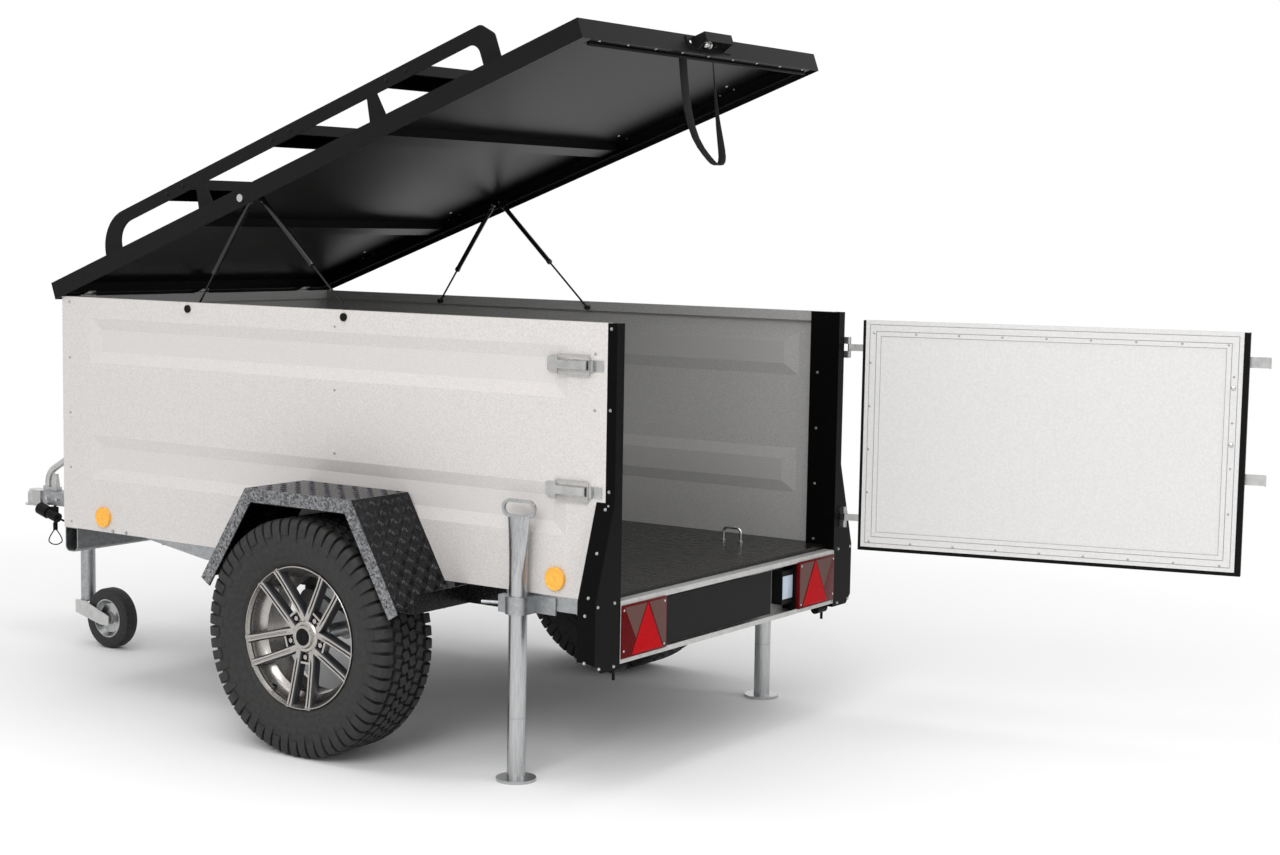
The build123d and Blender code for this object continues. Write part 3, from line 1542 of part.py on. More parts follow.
strut_pin_z = wall_top_z - strut_pin_below_top
eye_low_y = strut_y - strut_eye_width / 2
eye_high_y = strut_y + strut_eye_width / 2
strut_table = [
    # name, place of the stud on the lid, place of the pin in the wall, cylinder's length
    ("front", strut_lid_place - strut_stud_spread / 2, strut_front_pin, strut_front_cylinder),
    ("rear", strut_lid_place + strut_stud_spread / 2, strut_rear_pin, strut_rear_cylinder),
]
for name, stud_u, pin_place, cylinder_length in strut_table:
    top_x, top_z = lid_point(stud_u, strut_lid_rise)
    pin_x = along(pin_place)
    run = Vector(pin_x - top_x, 0, strut_pin_z - top_z)
    toward = run.normalized()
    for side, hand in ((1, "left"), (-1, "right")):
        top = Vector(top_x, side * strut_y, top_z)
        foot = Vector(pin_x, side * strut_y, strut_pin_z)
        with BuildPart() as cylinder:
            with BuildSketch(Plane(origin=top + toward * strut_pin_radius, z_dir=toward)):
                Circle(strut_cylinder_radius)
            extrude(amount=cylinder_length - strut_pin_radius)
            with BuildSketch(Plane(origin=(top.X, side * eye_low_y, top.Z), z_dir=(0, side, 0))):
                Circle(strut_eye_radius)
            extrude(amount=strut_eye_width)
            with BuildSketch(Plane(origin=top + toward * 2 * strut_eye_radius, z_dir=toward)):
                Circle(strut_rod_radius + pin_gap)
            extrude(amount=cylinder_length, mode=Mode.SUBTRACT)
            with BuildSketch(Plane(origin=(top.X, side * (eye_low_y - cut_over), top.Z), z_dir=(0, side, 0))):
                Circle(strut_pin_radius + pin_gap)
            extrude(amount=strut_eye_width + 2 * cut_over, mode=Mode.SUBTRACT)
        finish(cylinder.part, f"strut_{name}_{hand}_cylinder")
        with BuildPart() as piston_rod:
            inside = cylinder_length - strut_rod_inset
            with BuildSketch(Plane(origin=top + toward * inside, z_dir=toward)):
                Circle(strut_rod_radius)
            extrude(amount=run.length - inside - strut_rod_radius)
            with BuildSketch(Plane(origin=(foot.X, side * eye_low_y, foot.Z), z_dir=(0, side, 0))):
                Circle(strut_eye_radius)
            extrude(amount=strut_eye_width)
        finish(piston_rod.part, f"strut_{name}_{hand}_rod")

with BuildPart() as strut_lid_studs:
    for name, stud_u, pin_place, cylinder_length in strut_table:
        top_x, top_z = lid_point(stud_u, strut_lid_rise)
        for side in (1, -1):
            with BuildSketch(Plane(origin=(top_x, side * (inner_half - seat_gap), top_z), z_dir=(0, -side, 0))):
                Circle(strut_pin_radius)
            extrude(amount=inner_half - seat_gap - eye_low_y)
            cap_plane = Plane(
                origin=(top_x, side * (lid_half_width + seat_gap), top_z),
                z_dir=(0, side, 0),
            )
            if name == "front":
                with BuildSketch(cap_plane):
                    Circle(strut_cap_radius)
                extrude(amount=strut_cap_height)
finish(strut_lid_studs.part, "strut_lid_studs")

with BuildPart() as strut_wall_pins:
    for name, stud_u, pin_place, cylinder_length in strut_table:
        for side in (1, -1):
            pin_x = along(pin_place)
            with BuildSketch(Plane(origin=(pin_x, side * (half_width + seat_gap), strut_pin_z), z_dir=(0, side, 0))):
                Circle(strut_cap_radius)
            extrude(amount=strut_cap_height)
            inner_y = half_width - lip_depth - seat_gap
            with BuildSketch(Plane(origin=(pin_x, side * inner_y, strut_pin_z), z_dir=(0, -side, 0))):
                Circle(strut_pin_radius)
            extrude(amount=inner_y - eye_high_y - seat_gap)
finish(strut_wall_pins.part, "strut_wall_pins")

# Rear door: its plane runs from the hinge to the free edge, with Y to its outer face

door_turn = radians(90 + door_open_angle)
door_hinge_x = box_rear_x - door_hinge_behind
door_hinge_y = -door_hinge_out
door_top_z = wall_top_z - door_top_gap
door_plane = Plane(
    origin=(door_hinge_x, door_hinge_y, door_foot_z),
    x_dir=(cos(door_turn), sin(door_turn), 0),
    z_dir=(0, 0, 1),
)
door_near = door_hinge_out - post_inner_y + door_edge_gap
door_far = door_hinge_out + post_inner_y - door_edge_gap - cut_over
door_face = -door_face_ahead
door_back = door_face - door_thickness
door_height = door_top_z - door_foot_z
panel_low = door_trim_wall + seat_gap
with BuildPart(door_plane) as door_panel:
    slab(
        (door_near + panel_low, door_back + door_frame_proud, panel_low),
        (door_far - panel_low, door_face - door_frame_proud, door_height - seat_gap),
    )
finish(door_panel.part, "door_panel")

frame_near = door_near + door_trim_near + seat_gap
frame_far = door_far - door_trim_far - seat_gap
frame_low = door_trim_low + seat_gap
with BuildPart(door_plane) as door_frame:
    for low_y, high_y in ((door_back, door_back + door_frame_proud), (door_face - door_frame_proud, door_face)):
        slab((frame_near, low_y, frame_low), (frame_far, high_y, door_height))
        slab(
            (frame_near + door_frame_width, low_y - cut_over, frame_low + door_frame_width),
            (frame_far - door_frame_width, high_y + cut_over, door_height - door_frame_width),
            mode=Mode.SUBTRACT,
        )
finish(door_frame.part, "door_frame")

# Rubber channel that is pushed over three of the door's edges
with BuildPart(door_plane) as door_trim:
    slab((door_near, door_back, 0), (door_far, door_face, door_height))
    slab(
        (door_near + door_trim_wall, door_back + door_frame_proud, door_trim_wall),
        (door_far - door_trim_wall, door_face - door_frame_proud, door_height + cut_over),
        mode=Mode.SUBTRACT,
    )
    slab(
        (door_near + door_trim_near, door_back - cut_over, door_trim_low),
        (door_far - door_trim_far, door_face + cut_over, door_height + cut_over),
        mode=Mode.SUBTRACT,
    )
finish(door_trim.part, "door_trim")

with BuildPart(door_plane) as door_hinge_straps:
    for place in door_hinge_places:
        mid = place
        third = door_hinge_height / 3
        slab(
            (0, door_face + seat_gap, mid - third / 2),
            (door_near + door_frame_width, door_face + seat_gap + hinge_leaf, mid + third / 2),
        )
        slab(
            (door_near + third / 2, door_face + seat_gap, mid - door_hinge_height / 2),
            (door_near + door_frame_width, door_face + seat_gap + hinge_leaf, mid + door_hinge_height / 2),
        )
        with Locations((0, 0, mid)):
            Cylinder(hinge_barrel_radius, third)
            Cylinder(hinge_pin_radius + pin_gap, third + 2 * cut_over, mode=Mode.SUBTRACT)
finish(door_hinge_straps.part, "door_hinge_straps")

with BuildPart() as door_hinge_pins:
    for place in door_hinge_places:
        mid = door_foot_z + place
        third = door_hinge_height / 3
        for side in (1, -1):
            near = mid + side * (third / 2 + seat_gap)
            with BuildSketch(Plane(origin=(door_hinge_x, door_hinge_y, near), z_dir=(0, 0, side))):
                Circle(hinge_barrel_radius)
            extrude(amount=third)
            low = min(near, near + side * third)
            slab(
                (door_hinge_x, -half_width - seat_gap - hinge_leaf, low),
                (box_rear_x, -half_width - seat_gap, low + third),
            )
            slab(
                (door_hinge_x - hinge_leaf / 2, door_hinge_y, low),
                (door_hinge_x + hinge_leaf / 2, -half_width - seat_gap, low + third),
            )
        with BuildSketch(Plane(origin=(door_hinge_x, door_hinge_y, mid - door_hinge_height / 2))):
            Circle(hinge_pin_radius)
        extrude(amount=door_hinge_height)
finish(door_hinge_pins.part, "door_hinge_pins")

with BuildPart(door_plane) as door_keepers:
    for place in keeper_places:
        low = place - keeper_height / 2
        high = place + keeper_height / 2
        slab(
            (door_far - keeper_reach / 2, door_face + seat_gap, low),
            (door_far + keeper_reach, door_face + seat_gap + keeper_plate, high),
        )
        slab(
            (door_far + keeper_reach - keeper_plate, door_face + seat_gap - keeper_turn, low),
            (door_far + keeper_reach, door_face + seat_gap, high),
        )
finish(door_keepers.part, "door_keepers")

# Small fittings on the box

latch_wall = 2.0

with BuildPart() as side_latches:
    for height in latch_places:
        mid_z = over_ground(height)
        face = Plane(origin=(box_rear_x, half_width + seat_gap, mid_z), x_dir=(1, 0, 0), z_dir=(0, 1, 0))
        with BuildSketch(face):
            with Locations((latch_from_rear, 0)):
                Rectangle(latch_length, latch_height)
            with Locations((latch_from_rear + (latch_length - latch_tab_length) / 2, 0)):
                RectangleRounded(latch_tab_length, latch_tab_height, latch_tab_corner)
        extrude(amount=latch_wall)
        with BuildSketch(face.offset(latch_wall)):
            with Locations((lever_from_rear, 0)):
                Rectangle(lever_length, lever_height)
        extrude(amount=latch_depth - latch_wall, taper=lever_taper)
        with BuildSketch(face.offset(bail_rise - bail_wire / 2)):
            with Locations((bail_from_rear, 0)):
                RectangleRounded(bail_length, bail_height, bail_wire * 2)
                RectangleRounded(
                    bail_length - 2 * bail_wire,
                    bail_height - 2 * bail_wire,
                    bail_wire,
                    mode=Mode.SUBTRACT,
                )
        extrude(amount=bail_wire)
        with BuildSketch(face.offset(latch_wall)):
            with Locations((latch_hook_from_rear, 0)):
                Rectangle(latch_hook_width, latch_height)
        extrude(amount=bail_rise)
finish(side_latches.part, "side_latches")

with BuildPart() as side_reflectors:
    for side in (1, -1):
        for place in (box_length - reflector_from_front, reflector_from_rear):
            centre = (along(place), side * (half_width + seat_gap), over_ground(reflector_height))
            with BuildSketch(Plane(origin=centre, z_dir=(0, side, 0))):
                Circle(reflector_radius)
            extrude(amount=reflector_thickness)
finish(side_reflectors.part, "side_reflectors")

with BuildPart() as lashing_rings:
    for place, offset_y in ring_places:
        for side in (1, -1):
            foot_z = floor_top_z + seat_gap
            near_x = along(place) - ring_width / 2
            far_x = along(place) + ring_width / 2
            add(
                bent_rod(
                    [
                        (near_x, side * offset_y, foot_z),
                        (near_x, side * offset_y, foot_z + ring_height),
                        (far_x, side * offset_y, foot_z + ring_height),
                        (far_x, side * offset_y, foot_z),
                    ],
                    [ring_bend, ring_bend],
                    ring_wire,
                )
            )
            for foot_x in (near_x, far_x):
                with BuildSketch(Plane(origin=(foot_x, side * offset_y, foot_z))):
                    Circle(ring_foot_radius)
                extrude(amount=ring_foot_height)
finish(lashing_rings.part, "lashing_rings")

# Cable plug parked beside the nose tube, its cable, and the loop of the safety cable

plug_y = nose_tube_width / 2 + seat_gap + plug_clip_plate + plug_body_radius
plug_axis = Vector(-cos(radians(plug_tilt)), 0, -sin(radians(plug_tilt)))
plug_front = Vector(plug_front_x, plug_y, plug_front_z)
plug_joint = plug_front + plug_axis * plug_rubber_length
plug_back = plug_joint + plug_axis * plug_body_length
with BuildPart() as cable_plug:
    with BuildSketch(Plane(origin=plug_front, z_dir=plug_axis)):
        Circle(plug_rubber_radius)
    extrude(amount=plug_rubber_length)
    with BuildSketch(Plane(origin=plug_joint, z_dir=plug_axis)):
        Circle(plug_body_radius)
    extrude(amount=plug_body_length)
    slab(
        (plug_joint.X - plug_clip_length, nose_tube_width / 2 + seat_gap, plug_joint.Z - plug_body_radius),
        (plug_joint.X, plug_y, plug_joint.Z + plug_rubber_radius),
    )
    gland_foot_z = nose_foot_z - seat_gap - cable_gland_height
    with BuildSketch(Plane(origin=(cable_gland_x, cable_gland_y, gland_foot_z))):
        Circle(cable_gland_radius)
    extrude(amount=cable_gland_height)
finish(cable_plug.part, "cable_plug")

leave = plug_back + plug_axis * cable_run
cable_points = [
    plug_back,
    leave,
    leave + Vector(-cable_run, -cable_side_step, 0),
    Vector(cable_gland_x, cable_gland_y, gland_foot_z - cable_side_step),
    Vector(cable_gland_x, cable_gland_y, gland_foot_z),
]
cable_radii = corner_radii(cable_points)
print("plug cable corner radii, mm:", [round(radius) for radius in cable_radii])
plug_cable = bent_rod(cable_points, cable_radii, cable_radius)
finish(plug_cable, "plug_cable")

loop_plane = Plane(
    origin=(loop_x, loop_y, loop_top_z),
    x_dir=(-cos(radians(loop_turn)), -sin(radians(loop_turn)), 0),
    z_dir=(-sin(radians(loop_turn)), cos(radians(loop_turn)), 0),
)
loop_route = [loop_plane.from_local_coords(Vector(across, up, 0)) for across, up in loop_points]
loop_radii = corner_radii(loop_route)
print("safety loop corner radii, mm:", [round(radius) for radius in loop_radii])
with BuildPart() as safety_loop:
    add(bent_rod(loop_route, loop_radii, loop_wire_radius))
    with BuildSketch(Plane(origin=(loop_x, loop_y, loop_top_z))):
        Circle(loop_sleeve_radius)
    extrude(amount=loop_sleeve_height)
    slab(
        (
            loop_x - loop_hanger_length / 2,
            loop_y - loop_hanger_plate / 2,
            loop_top_z + loop_sleeve_height / 2,
        ),
        (loop_x + loop_hanger_length / 2, loop_y + loop_hanger_plate / 2, nose_foot_z - seat_gap),
    )
finish(safety_loop.part, "safety_loop")
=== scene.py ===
"""Looks of the off-road box trailer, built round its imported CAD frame.

The scene is in metres, +X forwards, +Y left, +Z up, with the origin at the centre of the towing ball. Sizes
and places below are in millimetres where nothing else is said.
"""
import json
from math import cos, pi, radians, sin

import bmesh
import bpy
from mathutils import Matrix, Vector


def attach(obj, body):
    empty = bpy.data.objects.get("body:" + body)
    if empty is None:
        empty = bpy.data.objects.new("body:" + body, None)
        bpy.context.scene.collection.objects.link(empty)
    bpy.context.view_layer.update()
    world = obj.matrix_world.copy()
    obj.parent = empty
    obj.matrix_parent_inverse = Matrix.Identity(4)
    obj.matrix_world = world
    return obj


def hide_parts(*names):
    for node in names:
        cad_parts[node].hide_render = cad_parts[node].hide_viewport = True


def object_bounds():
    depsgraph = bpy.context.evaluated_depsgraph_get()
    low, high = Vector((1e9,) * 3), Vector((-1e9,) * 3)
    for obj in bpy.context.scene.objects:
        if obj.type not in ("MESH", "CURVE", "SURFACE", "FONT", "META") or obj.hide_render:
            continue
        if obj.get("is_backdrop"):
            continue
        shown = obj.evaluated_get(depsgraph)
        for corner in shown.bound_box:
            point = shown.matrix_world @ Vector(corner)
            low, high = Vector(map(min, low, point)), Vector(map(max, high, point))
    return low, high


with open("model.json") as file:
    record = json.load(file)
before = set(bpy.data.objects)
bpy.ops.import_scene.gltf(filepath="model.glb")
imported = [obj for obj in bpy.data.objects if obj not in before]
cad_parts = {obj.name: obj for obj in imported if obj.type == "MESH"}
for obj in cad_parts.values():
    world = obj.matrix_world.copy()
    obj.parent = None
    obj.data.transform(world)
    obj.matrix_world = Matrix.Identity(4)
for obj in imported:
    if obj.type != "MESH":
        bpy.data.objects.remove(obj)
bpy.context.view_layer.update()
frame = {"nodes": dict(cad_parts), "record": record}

MM = 0.001
SIDES = ((1, "left"), (-1, "right"))

# The ground, the box and the left wheel's centre, as part.py has them
GROUND_Z = -430.0
BOX_FRONT_X = -826.0
BOX_REAR_X = -2840.0
WHEEL_X = -1995.0
WHEEL_Y = 706.0
WHEEL_Z = -108.5


# Small tools

def colour(code):
    """A sRGB hex colour as the linear colour that the shaders take."""
    parts = [int(code[n:n + 2], 16) / 255 for n in (1, 3, 5)]
    return (*((c / 12.92 if c <= 0.04045 else ((c + 0.055) / 1.055) ** 2.4) for c in parts), 1)


def node(tree, kind, inputs=None, **settings):
    """One node with its settings, and its inputs filled or joined by name."""
    made = tree.nodes.new(kind)
    for name, value in settings.items():
        setattr(made, name, value)
    for name, value in (inputs or {}).items():
        if isinstance(value, bpy.types.NodeSocket):
            tree.links.new(value, made.inputs[name])
        else:
            made.inputs[name].default_value = value
    return made


def finish_called(name, base, metallic, roughness, specular=0.5):
    """A material with its shader set, and the tree and the sockets that detail is led to."""
    material = bpy.data.materials.new(name)
    material.use_nodes = True
    sockets = material.node_tree.nodes["Principled BSDF"].inputs
    sockets["Base Color"].default_value = colour(base)
    sockets["Metallic"].default_value = metallic
    sockets["Roughness"].default_value = roughness
    sockets["Specular IOR Level"].default_value = specular
    return material, material.node_tree, sockets


NOISE = "ShaderNodeTexNoise"
CELLS = "ShaderNodeTexVoronoi"
RIBS = "ShaderNodeTexWave"


def pattern(tree, kind, size, detail=3.0, stretch=(1, 1, 1), **settings):
    """Noise, cells or ribs about size across, laid on the object's own coordinates."""
    at = node(tree, "ShaderNodeTexCoord").outputs["Object"]
    laid = node(tree, "ShaderNodeMapping", {"Vector": at, "Scale": stretch}).outputs["Vector"]
    made = node(tree, kind, {"Vector": laid, "Scale": 1 / (size * MM)}, **settings)
    if kind == NOISE:
        made.inputs["Detail"].default_value = detail
    return made.outputs


def steer(tree, factor, socket, colours=None, span=None, relief=None):
    """A factor's way to a socket.

    It goes through hex colours at places from 0 to 1, or over a span of numbers, which may be followed by
    the two factors that give its ends, or into bump of a strength and a height.
    """
    if colours:
        made = node(tree, "ShaderNodeValToRGB", {"Fac": factor})
        while len(made.color_ramp.elements) < len(colours):
            made.color_ramp.elements.new(0.5)
        for element, (place, code) in zip(made.color_ramp.elements, colours):
            element.position = place
            element.color = colour(code)
    elif span:
        low, high, low_from, high_from = (*span, 0.0, 1.0)[:4]
        made = node(tree, "ShaderNodeMapRange", {
            "Value": factor, "From Min": low_from, "From Max": high_from, "To Min": low, "To Max": high,
        })
    else:
        strength, height = relief
        made = node(tree, "ShaderNodeBump", {
            "Height": factor, "Strength": strength, "Distance": height * MM,
        })
    tree.links.new(made.outputs[0], socket)


# Finishes

# Pre-coated aluzinc sheet, roll formed: pale, with a fine grain that takes the shine off it
# The box's walls show that coat outside; their inward faces are painted a darker grey, a painted shade for the
# inside of the box
coated_sheet, tree, sockets = finish_called("coated_aluzinc_sheet", "#D0CCCA", 0.0, 0.42)
fine = pattern(tree, NOISE, 2.5)["Fac"]
coat = node(tree, "ShaderNodeMix", data_type="RGBA")
at = node(tree, "ShaderNodeTexCoord").outputs["Object"]
box_middle = ((BOX_FRONT_X + BOX_REAR_X) / 2 * MM, 0, 0)
from_middle = node(tree, "ShaderNodeVectorMath", {0: at, 1: box_middle}, operation="SUBTRACT").outputs[0]
level_part = node(tree, "ShaderNodeVectorMath", {0: from_middle, 1: (1, 1, 0)}, operation="MULTIPLY").outputs[0]
normal = node(tree, "ShaderNodeNewGeometry").outputs["Normal"]
outwards = node(tree, "ShaderNodeVectorMath", {0: level_part, 1: normal}, operation="DOT_PRODUCT")
steer(tree, outwards.outputs["Value"], coat.inputs[0], span=(0.0, 1.0, -0.01, 0.01))
# painted shade: the darker greys that the walls' inward faces take
steer(tree, fine, coat.inputs[6], colours=[(0.32, "#969594"), (0.5, "#A5A4A3"), (0.7, "#B2B1B0")])
steer(tree, fine, coat.inputs[7], colours=[(0.32, "#C2BEBB"), (0.5, "#D0CCCA"), (0.7, "#DBD7D5")])
tree.links.new(coat.outputs[2], sockets["Base Color"])
steer(tree, pattern(tree, NOISE, 300, 2.0)["Fac"], sockets["Roughness"], span=(0.36, 0.5, 0.3, 0.7))
steer(tree, fine, sockets["Normal"], relief=(0.25, 0.3))

# Hot-dip galvanised steel: grey metal with faint spangle
galvanised, tree, sockets = finish_called("hot_dip_galvanised_steel", "#A9ABAD", 1.0, 0.42)
spangle = node(tree, "ShaderNodeSeparateColor", {"Color": pattern(tree, CELLS, 9)["Color"]}).outputs["Red"]
steer(tree, spangle, sockets["Base Color"], colours=[(0.0, "#9A9C9E"), (1.0, "#ACAEB0")])
steer(tree, spangle, sockets["Roughness"], span=(0.38, 0.46))

# Drawn steel tube of the prop stands: bright, smooth, its zinc laid on evenly
drawn_tube, tree, sockets = finish_called("zinc_coated_drawn_tube", "#B4B5B6", 1.0, 0.3)
drawing = pattern(tree, NOISE, 3, 3.0, (1, 1, 0.05))["Fac"]
steer(tree, drawing, sockets["Base Color"], colours=[(0.3, "#A8A9AA"), (0.7, "#BEBFC0")])
steer(tree, drawing, sockets["Roughness"], span=(0.24, 0.38, 0.3, 0.7))

# Pressed sill with a dull silver coat, which stays pale in the shade
silver_coat, tree, sockets = finish_called("silver_coated_sill", "#B6B6B4", 0.35, 0.42)
mist = pattern(tree, NOISE, 20)["Fac"]
steer(tree, mist, sockets["Base Color"], colours=[(0.3, "#AEAEAC"), (0.7, "#BEBEBC")])
steer(tree, pattern(tree, NOISE, 6)["Fac"], sockets["Normal"], relief=(0.15, 0.4))

# Bright zinc-plated steel: smooth and shiny, barely clouded
zinc, tree, sockets = finish_called("bright_zinc_plate", "#C9C9C6", 1.0, 0.27)
cloud = pattern(tree, NOISE, 30, 1.0)["Fac"]
steer(tree, cloud, sockets["Base Color"], colours=[(0.3, "#B9BABA"), (0.7, "#C8C8C5")])
steer(tree, cloud, sockets["Roughness"], span=(0.25, 0.34, 0.3, 0.7))

# Satin black powder coat: a fine orange peel that breaks up its shine
powder_black, tree, sockets = finish_called("satin_black_powder_coat", "#121212", 0.0, 0.3, 0.1)
peel = pattern(tree, NOISE, 2.2, 2.0)["Fac"]
steer(tree, peel, sockets["Base Color"], colours=[(0.3, "#0E0E0E"), (0.7, "#181818")])
steer(tree, peel, sockets["Normal"], relief=(0.35, 0.35))

# Gloss black powder coat of the posts and guards: nearly no grain, its faces stay deep
gloss_black, tree, sockets = finish_called("gloss_black_powder_coat", "#080808", 0.0, 0.24, 0.05)
steer(tree, pattern(tree, NOISE, 25)["Fac"], sockets["Roughness"], span=(0.2, 0.3))

# Black coated aluminium chequer plate: glossy, so that each bar catches the light
chequer_black, tree, sockets = finish_called("black_chequer_plate", "#0C0C0D", 0.2, 0.22, 0.3)
wear_and_glint = pattern(tree, NOISE, 5)["Fac"]
steer(tree, wear_and_glint, sockets["Base Color"], colours=[(0.35, "#080809"), (0.75, "#141416")])
steer(tree, wear_and_glint, sockets["Roughness"], span=(0.16, 0.34, 0.3, 0.7))

# The same plate's bars, painted lighter than the plate: a painted highlight for the light that the bars catch
chequer_bar_glint, tree, sockets = finish_called("chequer_bar_painted_glint", "#3A3A3C", 0.9, 0.22)
wear_and_glint = pattern(tree, NOISE, 9)["Fac"]
steer(tree, wear_and_glint, sockets["Base Color"], colours=[(0.35, "#29292B"), (0.7, "#55555A")])

# Bare edge strip of the wheel arches: bright aluminium with a coarse hammered sparkle
bright_strip, tree, sockets = finish_called("hammered_bare_aluminium", "#7C7D80", 1.0, 0.3)
dimples = pattern(tree, CELLS, 5)
tone = node(tree, "ShaderNodeSeparateColor", {"Color": dimples["Color"]}).outputs["Red"]
steer(tree, tone, sockets["Base Color"], colours=[(0.0, "#4A4B4D"), (1.0, "#9C9D9F")])
steer(tree, dimples["Distance"], sockets["Normal"], relief=(0.8, 1.2))

# Moulded tyre rubber: nearly black, matt, with a little dust
rubber, tree, sockets = finish_called("moulded_tyre_rubber", "#1D1D1D", 0.0, 0.72)
dust = pattern(tree, NOISE, 12, 5.0)["Fac"]
steer(tree, dust, sockets["Base Color"], colours=[(0.3, "#171717"), (0.75, "#2A2928")])
steer(tree, pattern(tree, NOISE, 1.6)["Fac"], sockets["Normal"], relief=(0.25, 0.3))

# Cast alloy, painted dark grey
alloy_grey, tree, sockets = finish_called("grey_painted_cast_alloy", "#3C3D40", 0.6, 0.38)
sparkle = pattern(tree, NOISE, 1.5)["Fac"]
steer(tree, sparkle, sockets["Base Color"], colours=[(0.3, "#343538"), (0.7, "#47484B")])

# Cast alloy, diamond turned and lacquered
alloy_turned, tree, sockets = finish_called("diamond_turned_alloy", "#B3AFAB", 1.0, 0.28)
turning = pattern(tree, NOISE, 3)["Fac"]
steer(tree, turning, sockets["Base Color"], colours=[(0.3, "#A9A5A1"), (0.7, "#BCB8B4")])
steer(tree, turning, sockets["Roughness"], span=(0.23, 0.34))

# Phenolic-faced plywood floor: dark film with a sheen and a fine mesh print
film_ply, tree, sockets = finish_called("phenolic_film_plywood", "#110E0D", 0.0, 0.26, 0.3)
streak = pattern(tree, NOISE, 6, 4.0, (0.2, 1, 1))["Fac"]
steer(tree, streak, sockets["Base Color"], colours=[(0.3, "#0F0D0C"), (0.7, "#1A1715")])
steer(tree, streak, sockets["Roughness"], span=(0.22, 0.36, 0.3, 0.7))
steer(tree, pattern(tree, CELLS, 5)["Distance"], sockets["Normal"], relief=(0.1, 0.2))

# White coated sandwich board of the door
white_board, tree, sockets = finish_called("white_coated_board", "#DCDBDA", 0.0, 0.34)
soft_peel = pattern(tree, NOISE, 7, 1.0)["Fac"]
steer(tree, soft_peel, sockets["Base Color"], colours=[(0.3, "#D8D7D6"), (0.7, "#E0DFDE")])
steer(tree, soft_peel, sockets["Normal"], relief=(0.1, 0.4))

# The same board's joint at the frame's inner edge, grey with sealant, and its pressed grooves, painted grey as
# painted shade in them
sealant_and_groove_shade, tree, sockets = finish_called("grey_sealant_and_painted_groove_shade", "#A2A19F", 0.0, 0.6)
steer(tree, pattern(tree, NOISE, 12)["Fac"], sockets["Roughness"], span=(0.5, 0.7))

# Anodised aluminium section, drawn, so its lines run along it
anodised, tree, sockets = finish_called("anodised_aluminium", "#C4C5C6", 1.0, 0.36)
drawn = pattern(tree, NOISE, 1.5, 2.0, (1, 1, 0.03))["Fac"]
steer(tree, drawn, sockets["Roughness"], span=(0.28, 0.46, 0.3, 0.7))

# Black moulded plastic
moulded_black, tree, sockets = finish_called("black_moulded_plastic", "#0C0C0C", 0.0, 0.46, 0.12)
texture_grain = pattern(tree, NOISE, 1.8)["Fac"]
steer(tree, texture_grain, sockets["Normal"], relief=(0.2, 0.2))
steer(tree, texture_grain, sockets["Roughness"], span=(0.4, 0.55))

# Clear red acrylic over a prismatic back: saturated, glossy
red_acrylic, tree, sockets = finish_called("red_acrylic_lens", "#A00008", 0.0, 0.2, 0.04)
prisms = pattern(tree, CELLS, 4)["Distance"]
steer(tree, prisms, sockets["Base Color"], colours=[(0.0, "#8C0006"), (0.7, "#B6000C")])

# The same acrylic over a dark chamber
red_deep, tree, sockets = finish_called("red_acrylic_over_dark", "#4A0508", 0.0, 0.22, 0.06)
prisms = pattern(tree, CELLS, 4)["Distance"]
steer(tree, prisms, sockets["Base Color"], colours=[(0.0, "#380305"), (0.7, "#5E070B")])

# Clear acrylic over a smoky reflector: brown grey, ribbed
smoked_clear, tree, sockets = finish_called("clear_acrylic_over_reflector", "#583A34", 0.1, 0.22, 0.1)
flutes = pattern(tree, RIBS, 4, bands_direction="Y")["Fac"]
steer(tree, flutes, sockets["Base Color"], colours=[(0.2, "#482C28"), (0.8, "#6C4E48")])

# Plate lamp window: clear, over a pale blue-grey reflector
plate_window, tree, sockets = finish_called("clear_plate_lamp_window", "#B4C2D2", 0.0, 0.15)
flutes = pattern(tree, RIBS, 7, bands_direction="Y")["Fac"]
steer(tree, flutes, sockets["Base Color"], colours=[(0.2, "#95A5B8"), (0.8, "#CDD8E4")])

# Extruded rubber seal and edge channel: deep black with a soft sheen
seal_rubber, tree, sockets = finish_called("extruded_epdm_rubber", "#090909", 0.0, 0.5, 0.1)
steer(tree, pattern(tree, NOISE, 8)["Fac"], sockets["Roughness"], span=(0.42, 0.6))

# Clear amber acrylic of the reflectors
amber_acrylic, tree, sockets = finish_called("amber_acrylic_lens", "#F0A21E", 0.0, 0.12)
prisms = pattern(tree, CELLS, 3)["Distance"]
steer(tree, prisms, sockets["Base Color"], colours=[(0.0, "#E08A0C"), (0.7, "#FFC04A")])

# Facets of the same reflector painted darker and lighter: painted shade and painted highlight for the light on
# each facet
amber_painted_shade, tree, sockets = finish_called("amber_facet_painted_shade", "#D9800F", 0.0, 0.12)
steer(tree, pattern(tree, NOISE, 4)["Fac"], sockets["Base Color"], colours=[(0.3, "#CC7408"), (0.7, "#E58F1C")])
amber_painted_highlight, tree, sockets = finish_called("amber_facet_painted_highlight", "#FFC22E", 0.0, 0.12)
steer(tree, pattern(tree, NOISE, 4)["Fac"], sockets["Base Color"], colours=[(0.3, "#F8B820"), (0.7, "#FFD04A")])

# Aluminium blind rivets in the sheets
rivet_aluminium, tree, sockets = finish_called("aluminium_blind_rivet", "#A7A5A3", 0.9, 0.35)
steer(tree, pattern(tree, NOISE, 5)["Fac"], sockets["Roughness"], span=(0.28, 0.42))

# Black woven webbing: ribs across the strap
webbing, tree, sockets = finish_called("black_polyester_webbing", "#1B1B1C", 0.0, 0.8)
weave = pattern(tree, RIBS, 2, bands_direction="Z")["Fac"]
steer(tree, weave, sockets["Base Color"], colours=[(0.2, "#101011"), (0.8, "#2B2B2C")])
steer(tree, weave, sockets["Normal"], relief=(0.5, 0.5))

